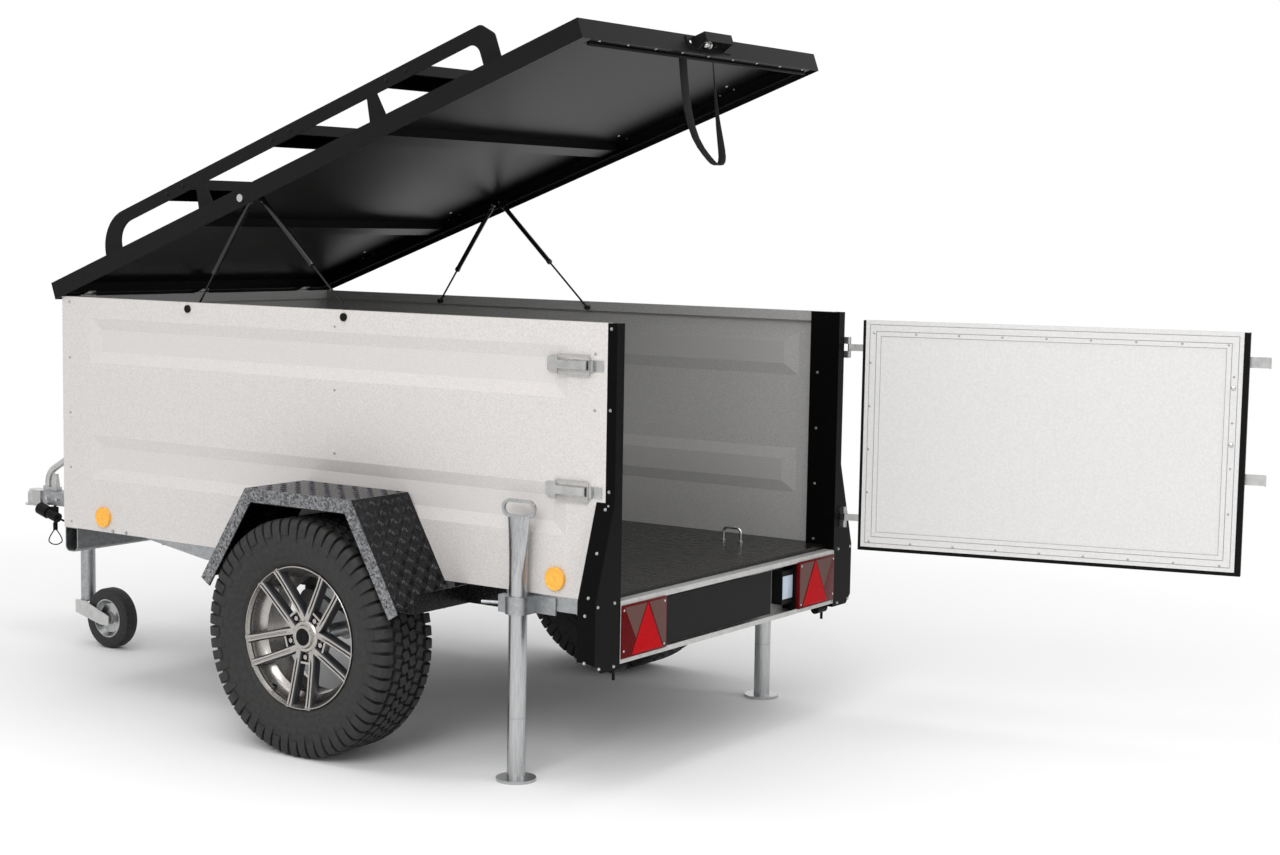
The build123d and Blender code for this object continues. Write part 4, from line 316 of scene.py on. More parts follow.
# Gloss black enamel of the gas strut cylinders
strut_black, tree, sockets = finish_called("gloss_black_enamel", "#121212", 0.0, 0.2)
steer(tree, pattern(tree, NOISE, 20)["Fac"], sockets["Roughness"], span=(0.16, 0.26))

# Ground piston rod, nitrided black
blackened_rod, tree, sockets = finish_called("black_nitrided_rod", "#2B2B2C", 0.8, 0.2)
steer(tree, pattern(tree, NOISE, 30)["Fac"], sockets["Roughness"], span=(0.16, 0.26))

FINISH_OF_NODE = {
    "prop_stand_left": drawn_tube,
    "prop_stand_right": drawn_tube,
    "rear_sill": silver_coat,
    "door_trim": seal_rubber,
    "rear_posts": gloss_black,
    "lamp_guards": gloss_black,
    "sill_buffers": seal_rubber,
}
FINISH_OF_SLOT = {
    "aluzinc_sheet": coated_sheet,
    "galvanised_steel": galvanised,
    "zinc_steel": zinc,
    "black_powder_coat": powder_black,
    "chequer_plate": chequer_black,
    "tyre_rubber": rubber,
    "grey_alloy": alloy_grey,
    "black_plywood": film_ply,
    "white_panel": white_board,
    "aluminium_frame": anodised,
    "black_plastic": moulded_black,
    "red_lens": red_acrylic,
    "amber_lens": amber_acrylic,
    "black_webbing": webbing,
    "black_strut": strut_black,
    "polished_rod": blackened_rod,
}
for row in frame["record"]["subparts"]:
    held = frame["nodes"][row["node"]]
    for slot in held.material_slots:
        slot.link = "OBJECT"
        slot.material = FINISH_OF_NODE.get(row["node"], FINISH_OF_SLOT[row["material_slot"]])


# Pieces that dress the frame

def spot(x, y, z):
    """A point in metres, from millimetres."""
    return Vector((x, y, z)) * MM


def sized(x, y, z):
    """The size that a unit form is given along its own axes."""
    return Matrix.Diagonal((*spot(x, y, z), 1))


def facing(at, out, along=None):
    """A place whose own Z looks out, and whose own X runs along where that is given."""
    out = Vector(out).normalized()
    if along is None:
        turn = out.to_track_quat("Z", "Y").to_matrix()
    else:
        side = out.cross(Vector(along)).normalized()
        turn = Matrix((side.cross(out), side, out)).transposed()
    return Matrix.Translation(at) @ turn.to_4x4()


def stamp(made, form, where, finish=None):
    """One more copy of a small form, put where the matrix says, in its own finishes or in one."""
    first_vertex = len(made.verts)
    first_face = len(made.faces)
    made.from_mesh(form)
    made.verts.ensure_lookup_table()
    made.faces.ensure_lookup_table()
    bmesh.ops.transform(made, matrix=where, verts=made.verts[first_vertex:])
    if finish is not None:
        for face in made.faces[first_face:]:
            face.material_index = finish


def faces_out(made):
    """Every face of a closed mesh turned to look outwards."""
    bmesh.ops.recalc_face_normals(made, faces=made.faces)


def eased(made, width, steps):
    """All edges of a mesh rounded off in a number of steps."""
    bmesh.ops.bevel(
        made, geom=made.edges[:], offset=width * MM, affect="EDGES", segments=steps, profile=0.5, material=-1,
    )


def swing(made, angle, axis, points=None):
    """A mesh, or some of its points, turned about an axis through the origin."""
    bmesh.ops.rotate(made, verts=points or made.verts, cent=(0, 0, 0), matrix=Matrix.Rotation(angle, 3, axis))


def seat(made, x, y, z):
    """A mesh moved as a whole to its place on the trailer."""
    bmesh.ops.translate(made, verts=made.verts, vec=spot(x, y, z))


def block(made, size, middle, turn=None):
    """A cuboid about its middle, turned by a matrix where that is given."""
    corners = bmesh.ops.create_cube(made, size=1.0)["verts"]
    bmesh.ops.scale(made, verts=corners, vec=spot(*size))
    if turn is not None:
        bmesh.ops.rotate(made, verts=corners, cent=(0, 0, 0), matrix=turn)
    bmesh.ops.translate(made, verts=corners, vec=spot(*middle))
    return corners


def kept_form(name, made):
    """A small form kept as a mesh, to be stamped many times."""
    faces_out(made)
    data = bpy.data.meshes.new(name)
    made.to_mesh(data)
    made.free()
    return data


def dress(name, body, made, finishes, soft_below=32, stands_for=()):
    """The finished mesh as a piece that rides on a body of the frame."""
    data = bpy.data.meshes.new(name)
    made.to_mesh(data)
    made.free()
    for finish in finishes:
        data.materials.append(finish)
    data.shade_smooth()
    data.set_sharp_from_angle(angle=radians(soft_below))
    shown = bpy.data.objects.new(name, data)
    bpy.context.scene.collection.objects.link(shown)
    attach(shown, body)
    if stands_for:
        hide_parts(*stands_for)
    return shown


def turned(made, outline, steps, closed=True, finish=0):
    """A section of (across, out) points, turned about the Y axis."""
    ring = [made.verts.new(spot(0, across, out)) for across, out in outline]
    edges = [made.edges.new(pair) for pair in zip(ring, ring[1:])]
    if closed:
        edges.append(made.edges.new((ring[-1], ring[0])))
    before = len(made.faces)
    bmesh.ops.spin(
        made, geom=ring + edges, cent=(0, 0, 0), axis=(0, 1, 0), angle=2 * pi, steps=steps, use_merge=True,
    )
    made.faces.ensure_lookup_table()
    for face in made.faces[before:]:
        face.material_index = finish


def lofted(made, sections):
    """A closed skin through sections of points, one ring after the next."""
    rings = []
    for section in sections:
        ring = [made.verts.new(point) for point in section]
        rings.append([made.edges.new(pair) for pair in zip(ring, ring[1:] + ring[:1])])
    for near, far in zip(rings, rings[1:]):
        bmesh.ops.bridge_loops(made, edges=near + far)
    bmesh.ops.holes_fill(made, edges=rings[0] + rings[-1])


# Small forms, one across from their middle to their rim: a rivet's dome, and a hexagon head on its washer

made = bmesh.new()
bmesh.ops.create_uvsphere(made, u_segments=10, v_segments=6, radius=1.0)
bmesh.ops.bisect_plane(
    made, geom=made.verts[:] + made.edges[:] + made.faces[:], plane_co=(0, 0, 0), plane_no=(0, 0, -1),
    clear_outer=True,
)
bmesh.ops.holes_fill(made, edges=[edge for edge in made.edges if edge.is_boundary])
DOME_RISE = 0.45
bmesh.ops.scale(made, vec=(1, 1, DOME_RISE), verts=made.verts)
rivet_form = kept_form("rivet_form", made)

WASHER_HIGH = 0.22
HEAD_HIGH = 0.75
made = bmesh.new()
bmesh.ops.create_cone(made, cap_ends=True, segments=14, radius1=1.35, radius2=1.3, depth=WASHER_HIGH)
bmesh.ops.translate(made, verts=made.verts, vec=(0, 0, WASHER_HIGH / 2))
head = bmesh.ops.create_cone(made, cap_ends=True, segments=6, radius1=1.0, radius2=0.93, depth=HEAD_HIGH)
bmesh.ops.translate(made, verts=head["verts"], vec=(0, 0, WASHER_HIGH + HEAD_HIGH / 2))
hexagon_form = kept_form("hexagon_form", made)


def fasteners(name, body, finish, form, rows):
    """One mesh of all the fasteners of a kind, from rows of a point, the way it looks and a radius."""
    made = bmesh.new()
    for point, outward, radius in rows:
        stamp(made, form, facing(spot(*point), outward) @ sized(radius, radius, radius))
    return dress(name, body, made, [finish])


# Tyres: one section turned about the axle, with the tread's blocks set round it

# across, out from the axle
TYRE_SKIN = [
    (73, 182), (76, 190), (80, 196.5), (87, 203), (89.5, 207), (89, 211), (91.5, 215), (95.5, 224),
    (96.5, 231), (99, 240), (100.4, 250), (99.8, 262), (98.6, 274), (96, 286), (91.5, 297), (84, 305),
    (70, 309), (36, 310.5),
]
TYRE_LINING = [
    (36, 300), (72, 298), (90, 284), (94, 262), (90, 238), (82, 216), (73, 203), (66, 192), (64, 184),
]
TREAD_TOP = 321.1
TREAD_ROOT = 308.0
TREAD_PITCHES = 29
LONG_SHOULDER = [
    (66, 306), (66, 321.1), (85, 320.4), (93, 316.5), (98.5, 308), (101.5, 296), (102.4, 282), (102.3, 267),
    (101.2, 257), (97, 257), (95, 272), (91, 288), (82, 300),
]
SHORT_SHOULDER = [
    (66, 306), (66, 321.1), (85, 320.4), (93, 316.5), (98.2, 308), (101.2, 296), (102, 285), (101, 276),
    (96, 276), (91, 290), (82, 301),
]
SHOULDER_LENGTH = 25.0
BLOCK_WIDTH = 21.0
# across, lag in half pitches, skew in radians, length
MIDDLE_BLOCKS = [(13, 0.0, 0.32, 27), (-13, 0.5, 0.32, 27), (42, 0.55, -0.3, 25), (-42, 0.05, -0.3, 25)]


def shoulder_block(made, outline, turn):
    """One shoulder block: its outline pushed out along the tread and turned round the wheel."""
    first_vertex = len(made.verts)
    face = made.faces.new([made.verts.new(spot(-SHOULDER_LENGTH / 2, across, out)) for across, out in outline])
    pushed = bmesh.ops.extrude_face_region(made, geom=[face])
    moved = [part for part in pushed["geom"] if isinstance(part, bmesh.types.BMVert)]
    bmesh.ops.translate(made, verts=moved, vec=spot(SHOULDER_LENGTH, 0, 0))
    made.verts.ensure_lookup_table()
    swing(made, turn, "Y", made.verts[first_vertex:])


made = bmesh.new()
half_pitch = pi / TREAD_PITCHES
for turn, outlines in enumerate(((LONG_SHOULDER, SHORT_SHOULDER), (SHORT_SHOULDER, LONG_SHOULDER))):
    shoulder_block(made, outlines[0], turn * half_pitch)
    shoulder_block(made, [(-across, out) for across, out in outlines[1]], (turn + 0.5) * half_pitch)
    for across, lag, skew, length in MIDDLE_BLOCKS:
        corners = block(
            made, (length, BLOCK_WIDTH, TREAD_TOP - TREAD_ROOT), (0, across, (TREAD_TOP + TREAD_ROOT) / 2),
            Matrix.Rotation(skew, 3, "Z"),
        )
        swing(made, (turn + lag) * half_pitch, "Y", corners)
faces_out(made)
eased(made, 1.1, 1)
tread_set = kept_form("tread_set", made)

for side, hand in SIDES:
    made = bmesh.new()
    section = TYRE_SKIN + [(-across, out) for across, out in reversed(TYRE_SKIN)]
    section += [(-across, out) for across, out in reversed(TYRE_LINING)] + TYRE_LINING
    turned(made, section, 120)
    faces_out(made)
    for n in range(TREAD_PITCHES):
        stamp(made, tread_set, Matrix.Rotation(2 * pi * n / TREAD_PITCHES, 4, "Y"))
    seat(made, WHEEL_X, side * WHEEL_Y, WHEEL_Z)
    dress(f"mud_tyre_{hand}", f"wheel_{hand}", made, [rubber], 40, [f"tyre_{hand}"])


# Wheels: a turned barrel, and five pairs of grooved bars that run out from the hub to the lip

# across, out from the axle
BARREL = [
    (79.5, 192.3), (83, 192.3), (84, 190.8), (83.2, 189.2), (80, 188), (74, 184.5), (64, 180.5), (48, 177),
    (38, 168), (32, 159), (-34, 156), (-44, 167), (-66, 178), (-82, 186), (-83.5, 192.3), (-80, 192.3),
    (-62, 183), (-40, 173), (-30, 164), (30, 166), (42, 177), (62, 185),
]
HUB = [(34, 22), (34, 76), (39, 76), (39, 44), (54, 44), (58, 40), (58, 22)]
CAP = [(57, 0), (63, 0), (65.2, 8), (64.6, 20), (63.4, 23.5), (57, 23.5)]
CAP_RING = [(57, 23.4), (64.4, 23.4), (65.6, 26), (64.4, 30), (57, 34)]
# out from the axle, aside from the pair's middle, half width, face, depth, groove
BAR_STATIONS = [
    (36, 22.0, 12.0, 55.0, 22, 0.4), (60, 24.8, 12.2, 57.5, 24, 0.6), (82, 26.6, 12.0, 61.0, 24, 4.0),
    (150, 31.2, 11.2, 73.0, 24, 4.5), (177, 33.0, 12.0, 79.0, 22, 4.5), (186, 33.8, 13.0, 81.6, 18, 0.8),
    (190.2, 34.0, 13.4, 82.8, 8, 0.4),
]
SPOKE_PAIRS = 5
NUT_CIRCLE = 56.0
NUT_SEAT = 39.0
BRIGHT, PLASTIC, PAINTED = range(3)
TURNED_TO_FRONT = 0.75

for side, hand in SIDES:
    made = bmesh.new()
    for pair in range(SPOKE_PAIRS):
        for lean in (1, -1):
            sections = []
            for out, aside, half, face, depth, groove in BAR_STATIONS:
                across = (
                    (-half, depth), (-half, 7), (-half + 2.2, 2.2), (-half + 4.2, 0), (-2.4, 0), (-1.2, groove),
                    (1.2, groove), (2.4, 0), (half - 4.2, 0), (half - 2.2, 2.2), (half, 7), (half, depth),
                )
                sections.append([spot(lean * aside + place, face - down, out) for place, down in across])
            lofted(made, sections)
        faces_out(made)
        for face in made.faces:
            if face.material_index == BRIGHT and face.normal.y < TURNED_TO_FRONT:
                face.material_index = PAINTED
        block(made, (34, 14, 6), (0, 48.5, 71))
        swing(made, 2 * pi / SPOKE_PAIRS, "Y")
    swing(made, pi, "Y")
    turned(made, BARREL, 96)
    turned(made, HUB, 40)
    turned(made, CAP, 40, False, PLASTIC)
    turned(made, CAP_RING, 40)
    for n in range(SPOKE_PAIRS):
        angle = pi + 2 * pi * n / SPOKE_PAIRS
        at = spot(NUT_CIRCLE * sin(angle), NUT_SEAT, NUT_CIRCLE * cos(angle))
        stamp(made, hexagon_form, facing(at, (0, 1, 0)) @ sized(7.5, 7.5, 15))
    # the valve's stem
    stamp(made, rivet_form, facing(spot(98, 62, -146), (-0.3, 1, 0.45)) @ sized(4, 4, 60), PLASTIC)
    faces_out(made)
    if side < 0:
        swing(made, pi, "X")
    seat(made, WHEEL_X, side * WHEEL_Y, WHEEL_Z)
    finishes = [alloy_turned, moulded_black, alloy_grey]
    dress(f"alloy_wheel_{hand}", f"wheel_{hand}", made, finishes, 30, [f"rim_{hand}"])


# Chequer bars: groups of five short bars, turned this way and that in turn

made = bmesh.new()
foot = [made.verts.new(spot(*point)) for point in ((-9.5, 0, 0), (0, -1.2, 0), (9.5, 0, 0), (0, 1.2, 0))]
crest = [made.verts.new(spot(*point)) for point in ((-5.5, 0, 1.1), (5.5, 0, 1.1))]
for corners in (
    (foot[3], foot[2], foot[1], foot[0]), (foot[0], foot[1], crest[1], crest[0]), (foot[1], foot[2], crest[1]),
    (foot[2], foot[3], crest[0], crest[1]), (foot[3], foot[0], crest[0]),
):
    made.faces.new(corners)
bar_form = kept_form("chequer_bar_form", made)

CHEQUER_PITCH = 26.0
BAR_PITCH = 4.0


def chequer(made, corner, along, across, length, width):
    """A field of bar groups over a flat panel, from one corner."""
    along = Vector(along).normalized()
    across = Vector(across).normalized()
    out = across.cross(along)
    columns = max(1, int(length / CHEQUER_PITCH))
    rows = max(1, int(width / CHEQUER_PITCH))
    for column in range(columns):
        for row in range(rows):
            middle = Vector(corner)
            middle += along * (column + 0.5) * length / columns + across * (row + 0.5) * width / rows
            lean = pi / 4 if (column + row) % 2 else -pi / 4
            direction = Matrix.Rotation(lean, 3, out) @ along
            aside = out.cross(direction)
            for n in range(-2, 3):
                stamp(made, bar_form, facing((middle + aside * n * BAR_PITCH) * MM, out, direction))


# The fender's upper edge from rear to front, and the panels that its bars cover
FENDER_EDGE = [(-2358.0, 0.0), (-2196.0, 280.0), (-1817.0, 280.0), (-1650.0, 20.0)]
PANEL_MARGIN = 6.0
PANEL_OUTER_Y = 800.0
PANEL_WIDTH = 216.0
for side, hand in SIDES:
    made = bmesh.new()
    left_y = PANEL_OUTER_Y if side > 0 else PANEL_WIDTH - PANEL_OUTER_Y
    for (x1, z1), (x2, z2) in zip(FENDER_EDGE, FENDER_EDGE[1:]):
        run = Vector((x2 - x1, 0, z2 - z1))
        corner = Vector((x1, left_y, z1)) + run.normalized() * PANEL_MARGIN
        chequer(made, corner, run, (0, -1, 0), run.length - 2 * PANEL_MARGIN, PANEL_WIDTH)
    # the bars take the lighter grey of the painted highlight
    dress(f"fender_chequer_{hand}", "root", made, [chequer_bar_glint], 20)

# Bright strip over the arch's outer lip, from end to end
STRIP_DROP = 36.0
STRIP_INNER_Y = 804.0
STRIP_OUTER_Y = 804.7
for side, hand in SIDES:
    made = bmesh.new()
    sections = []
    for n, (x, z) in enumerate(FENDER_EDGE):
        before = Vector(FENDER_EDGE[max(n - 1, 0)])
        here = Vector((x, z))
        after = Vector(FENDER_EDGE[min(n + 1, len(FENDER_EDGE) - 1)])
        run_in = (here - before).normalized() if n else (after - here).normalized()
        run_out = (after - here).normalized() if n + 1 < len(FENDER_EDGE) else run_in
        inward = Vector((run_in.y + run_out.y, -run_in.x - run_out.x)).normalized()
        low = here + inward * STRIP_DROP / inward.dot(Vector((run_in.y, -run_in.x)))
        sections.append([
            spot(x, side * STRIP_INNER_Y, z), spot(x, side * STRIP_OUTER_Y, z),
            spot(low.x, side * STRIP_OUTER_Y, low.y), spot(low.x, side * STRIP_INNER_Y, low.y),
        ])
    lofted(made, sections)
    faces_out(made)
    dress(f"arch_strip_{hand}", "root", made, [bright_strip], 30)


# Rivets of the side sheets, screws of the posts and guards, bolts of the coupling

WALL_SKIN_Y = 578.9
RIVET = 4.2
SCREW = 3.2
# ahead of the box's rear, heights above the ground
RIVET_COLUMNS = ((1981, (1170, 1003, 837, 671, 505)), (909, (1140, 967, 794)), (37, (1108, 967, 640)))
rows = []
for side, hand in SIDES:
    for from_rear, heights in RIVET_COLUMNS:
        for height in heights:
            rows.append(((BOX_REAR_X + from_rear, side * WALL_SKIN_Y, GROUND_Z + height), (0, side, 0), RIVET))
fasteners("side_sheet_rivets", "root", rivet_aluminium, rivet_form, rows)
# x, the way that the heads look on the left, radius, and each screw's place as (y, z)
SCREW_ROWS = (
    # the post's outer and inner face
    (-2851, (0, 1, 0), SCREW, [(578.8, 742), (578.8, 540), (578.8, 336), (578.8, 301), (578.8, 75)]),
    (-2799, (0, -1, 0), SCREW, [(546.8, 577), (546.8, 413), (546.8, 249), (546.8, 85)]),
    # the guard's back, its slope and its outer edge
    (-2868.9, (-1, 0, 0), SCREW, [(646, 57), (574, 58), (638, -99), (574, -103)]),
    (-2844, (0, 0.954, 0.299), SCREW, [(584, 292), (617.3, 185.5), (651, 78)]),
    (-2837, (0, 1, 0), SCREW, [(654.9, 33), (654.9, -86)]),
    # the wall's foot over the drawbar
    (-1043, (0, 1, 0), 4.5, [(WALL_SKIN_Y, 62)]),
    (-1100, (0, 1, 0), 4.5, [(WALL_SKIN_Y, 62)]),
)
rows = []
for side, hand in SIDES:
    for x, (out_x, out_y, out_z), radius, places in SCREW_ROWS:
        rows += [((x, side * y, z), (out_x, side * out_y, out_z), radius) for y, z in places]
fasteners("post_and_guard_screws", "root", zinc, hexagon_form, rows)
fasteners("coupling_bolts", "root", zinc, hexagon_form, [
    ((x, side * 29.9, 24), (0, side, 0), 8.0) for side, hand in SIDES for x in (-92, -142)
])


# Side reflectors: amber discs of eight facets in a raised rim

REFLECTOR_DISC = [(0, 30), (8.6, 30), (9.6, 29), (9.6, 27), (8.4, 26), (0, 26)]
FACETS = 8
# Finish of each facet in turn: 0 the mid amber, 1 its painted shade, 2 its painted highlight
FINISH_OF_FACET = (1, 0, 2, 0, 1, 2, 0, 2)
disc = bmesh.new()
turned(disc, REFLECTOR_DISC, 48)
cone = bmesh.ops.create_cone(
    disc, cap_ends=True, segments=FACETS, radius1=26.5 * MM, radius2=0.6 * MM, depth=4.5 * MM,
)["verts"]
swing(disc, -pi / 2, "X", cone)
bmesh.ops.translate(disc, verts=cone, vec=spot(0, 7.6, 0))
facets = sorted(
    {face for vertex in cone for face in vertex.link_faces if len(face.verts) == 4},
    key=lambda face: round(Vector((0, 1)).angle_signed(face.calc_center_median().xz), 3),
)
for face, finish in zip(facets, FINISH_OF_FACET):
    face.material_index = finish
reflector_form = kept_form("reflector_form", disc)
for side, hand in SIDES:
    made = bmesh.new()
    for x in (-1005, -2690):
        way_round = Matrix.Rotation(0 if side > 0 else pi, 4, "Z")
        stamp(made, reflector_form, Matrix.Translation(spot(x, side * 579.0, 101)) @ way_round)
    # the facets carry the painted shade and painted highlight of the amber
    dress(f"facet_reflectors_{hand}", "root", made, [amber_acrylic, amber_painted_shade, amber_painted_highlight], 12)


# Places on the lid and the door, which stand open

LID_HINGE = Vector((-813.5, 0.0, 755.0))
LID_OPEN = radians(20)
LID_LENGTH = 2064.5
DOOR_PIN = Vector((-2880.0, -590.0, 63.0))
DOOR_OPEN = radians(104)
DOOR_NEAR = 48.3
DOOR_FAR = 1129.7
DOOR_HEIGHT = 672.0
DOOR_FACES = (-31.0, -6.0)
lid_back = Vector((-cos(LID_OPEN), 0, sin(LID_OPEN)))
lid_out = Vector((sin(LID_OPEN), 0, cos(LID_OPEN)))
door_run = Vector((-sin(DOOR_OPEN), cos(DOOR_OPEN), 0))
door_out = Vector((-cos(DOOR_OPEN), -sin(DOOR_OPEN), 0))


def on_lid(back, across, out):
    """A point of the open lid: back from its hinge, across, and out of its top."""
    return LID_HINGE + lid_back * back + Vector((0, across, 0)) + lid_out * out


def on_door(along, through, up):
    """A point of the open door: from its pin, through it, and up from its foot."""
    return DOOR_PIN + door_run * along + door_out * through + Vector((0, 0, up))


# Door: a white frame with two pressed grooves on each face, its rivets, and two hook bolts

FRAME_NEAR = DOOR_NEAR + 8.3
FRAME_FAR = DOOR_FAR - 16.3
FRAME_FOOT = 10.3
FRAME_RISE = 1.7
# inwards and outwards of each step of the frame's pressed section, after its outer edge
FRAME_STEPS = [
    (11, 0), (0.6, -1.0), (0.8, 0), (0.6, 1.0), (17, 0), (0.6, -1.0), (0.8, 0), (0.6, 1.0), (12.1, 0),
    (1.6, -1.9),
]
WIDEST_GROOVE_STEP = 2
made = bmesh.new()
for face_at, away in zip(DOOR_FACES, (-1, 1)):
    corners = [
        (FRAME_NEAR, FRAME_FOOT), (FRAME_FAR, FRAME_FOOT), (FRAME_FAR, DOOR_HEIGHT), (FRAME_NEAR, DOOR_HEIGHT),
    ]
    seat_at = face_at - away * FRAME_RISE
    board = made.faces.new([made.verts.new(on_door(along, seat_at, up) * MM) for along, up in corners[::-away]])
    board.normal_update()
    bmesh.ops.inset_individual(made, faces=[board], thickness=0.1 * MM, depth=FRAME_RISE * MM)
    for inwards, outwards in FRAME_STEPS:
        ring = bmesh.ops.inset_individual(
            made, faces=[board], thickness=inwards * MM, depth=outwards * MM, use_even_offset=True,
        )
        for face in ring["faces"]:
            # The narrow steps take the grey: sealant at the frame's inner edge, painted shade in the pressed
            # grooves
            face.material_index = 1 if inwards < WIDEST_GROOVE_STEP else 0
    bmesh.ops.delete(made, geom=[board], context="FACES_ONLY")
dress("door_grooved_frame", "door", made, [white_board, sealant_and_groove_shade], 20, ["door_frame"])

rivet_places = [(DOOR_NEAR + 33 + 124 * n, up) for n in range(9) for up in (26, DOOR_HEIGHT - 36)]
rivet_places += [(along, up) for along in (DOOR_FAR - 39, DOOR_NEAR + 24) for up in (171, 297, 423, 550)]
rows = []
for face_at, away in zip(DOOR_FACES, (-1, 1)):
    rows += [(on_door(along, face_at + 0.1 * away, up), door_out * away, 3.6) for along, up in rivet_places]
fasteners("door_frame_rivets", "door", rivet_aluminium, rivet_form, rows)
fasteners("door_hook_bolts", "door", zinc, rivet_form, [
    (on_door(DOOR_FAR - 39, DOOR_FACES[0] - 0.1, up), -door_out, 7.5) for up in (362, 519)
])


# Lid: its folded rear flange with rivets, bulb seal, rack bolts from above and below, the lock's swivel eye

made = bmesh.new()
block(made, (29.9, 1080, 1.5), on_lid(LID_LENGTH - 17.05, 0, -5.05), Matrix.Rotation(LID_OPEN, 3, "Y"))
dress("lid_rear_flange", "lid", made, [powder_black], 30)
fasteners("lid_flange_rivets", "lid", zinc, rivet_form, [
    (on_lid(LID_LENGTH - 9, 504 - 126 * n, -5.8), -lid_out, 4.0) for n in range(9)
])

SEAL_END = [(533, 4.4), (536.5, 3.9), (538.6, 2.1), (539, 0)]
made = bmesh.new()
turned(made, [(-across, out) for across, out in reversed(SEAL_END)] + SEAL_END, 16, False)
bmesh.ops.remove_doubles(made, verts=made.verts, dist=0.1 * MM)
faces_out(made)
seat(made, *on_lid(LID_LENGTH - 23, 0, -9.5))
dress("lid_bulb_seal", "lid", made, [seal_rubber], 40)

# back from the foot, across
FOOT_BOLTS = ((-44, 572), (22, 510), (6, 574))
rows = []
for place in (258, 655, 1363, 1776):
    for side, hand in SIDES:
        rows += [(on_lid(place + back, side * across, 43.9), -lid_out, 5.0) for back, across in FOOT_BOLTS]
fasteners("rack_foot_bolts", "lid", zinc, rivet_form, rows)
rows = []
for side, hand in SIDES:
    rows += [(on_lid(place, side * 560, 138), (0, side, 0), 7.0) for place in (526, 597, 971, 1041, 1414, 1486)]
fasteners("rack_rail_bolts", "lid", powder_black, rivet_form, rows)

made = bmesh.new()
turned(made, [(-2, 7), (-1.2, 9.6), (1.2, 9.6), (2, 7), (1.2, 4.6), (-1.2, 4.6)], 24)
turned(made, [(4, 0), (4, 5.5), (16, 5.5), (18, 7.5), (22, 7.5), (24, 5), (24, 0)], 20, False)
block(made, (3, 26, 12), (8, 10, 2))
bmesh.ops.remove_doubles(made, verts=made.verts, dist=0.05 * MM)
faces_out(made)
seat(made, *on_lid(LID_LENGTH + 22, 32, 11))
dress("lock_swivel_eye", "lid", made, [zinc], 40)
fasteners("lock_hood_bolts", "lid", zinc, rivet_form, [
    (on_lid(LID_LENGTH + 3.6, side * 90, 24), lid_back, 5.0) for side, hand in SIDES
])


# Pull strap: one band of webbing that hangs in a loop and turns over on its right-hand run

STRAP_X = -2710.4
STRAP_WIDTH = 25.0
STRAP_THICK = 2.2
# across, height, turn of the band about its own run in degrees
STRAP_STATIONS = [
    (73.6, 1487, 0), (68, 1440, 0), (61, 1400, 0), (52, 1355, 0), (39, 1310, 2), (21, 1270, 4), (-3, 1236, 5),
    (-30, 1211, 5), (-58, 1192, 4), (-80, 1179, 3), (-98, 1170, 2), (-114, 1166.8, 1), (-128, 1168, 0),
    (-137.5, 1176, -1), (-139.5, 1190, -3), (-136, 1208, -7), (-128, 1236, -14), (-119, 1266, -23),
    (-110, 1300, -33), (-101.5, 1340, -43), (-93, 1385, -50), (-84, 1435, -55), (-75.5, 1487, -57),
]
# the band's section in halves of its width and its thickness, with soft edges
STRAP_SECTION = ((-1, -0.5), (-0.9, -1), (0.9, -1), (1, -0.5), (1, 0.5), (0.9, 1), (-0.9, 1), (-1, 0.5))
made = bmesh.new()
sections = []
for n, (across, height, turn) in enumerate(STRAP_STATIONS):
    before = Vector(STRAP_STATIONS[max(n - 1, 0)][:2])
    after = Vector(STRAP_STATIONS[min(n + 1, len(STRAP_STATIONS) - 1)][:2])
    run = (after - before).normalized()
    along = Vector((0, run.x, run.y))
    wide = Matrix.Rotation(radians(turn), 3, along) @ Vector((1, 0, 0)) * STRAP_WIDTH / 2 * MM
    thick = along.cross(wide.normalized()) * STRAP_THICK / 2 * MM
    middle = spot(STRAP_X, across, height)
    sections.append([middle + wide * u + thick * v for u, v in STRAP_SECTION])
lofted(made, sections)
faces_out(made)
dress("webbing_pull_strap", "lid", made, [webbing], 35, ["pull_strap"])


# Tail lamps: lens body, a red triangle folded along its middle, a smoked triangle and end strip

LENS_BACK_X = -2861.1
LENS_DEPTH = 12.5
LAMP_INNER = 341.1
LAMP_LENGTH = 205.0
LAMP_LOW = -90.0
LAMP_TOP = 46.0
LAMP_BODY, LAMP_RED, LAMP_SMOKED = range(3)
# finish, corners as (out from the lamp's inner end, height), rise
LENS_FIELDS = (
    (LAMP_RED, ((22, -84), (160, -84), (91, 42)), 1.0),
    (LAMP_SMOKED, ((95, 41), (192, 41), (142, -44)), 0.6),
    (LAMP_SMOKED, ((5, 41), (83, 41), (17, -80), (5, -80)), 0.6),
)
FIELD_SUNK = 0.2
# the red triangle's two foot corners, its apex and the middle of its foot, each with its rise
RIDGE = ((0.8, (25, -82.5)), (0.8, (157, -82.5)), (0.8, (91, 38)), (2.4, (91, -80)))


def on_lamp(side, depth, from_inner, height):
    """A point of a lamp's lens."""
    return Vector((LENS_BACK_X - depth, side * (LAMP_INNER + from_inner), height))


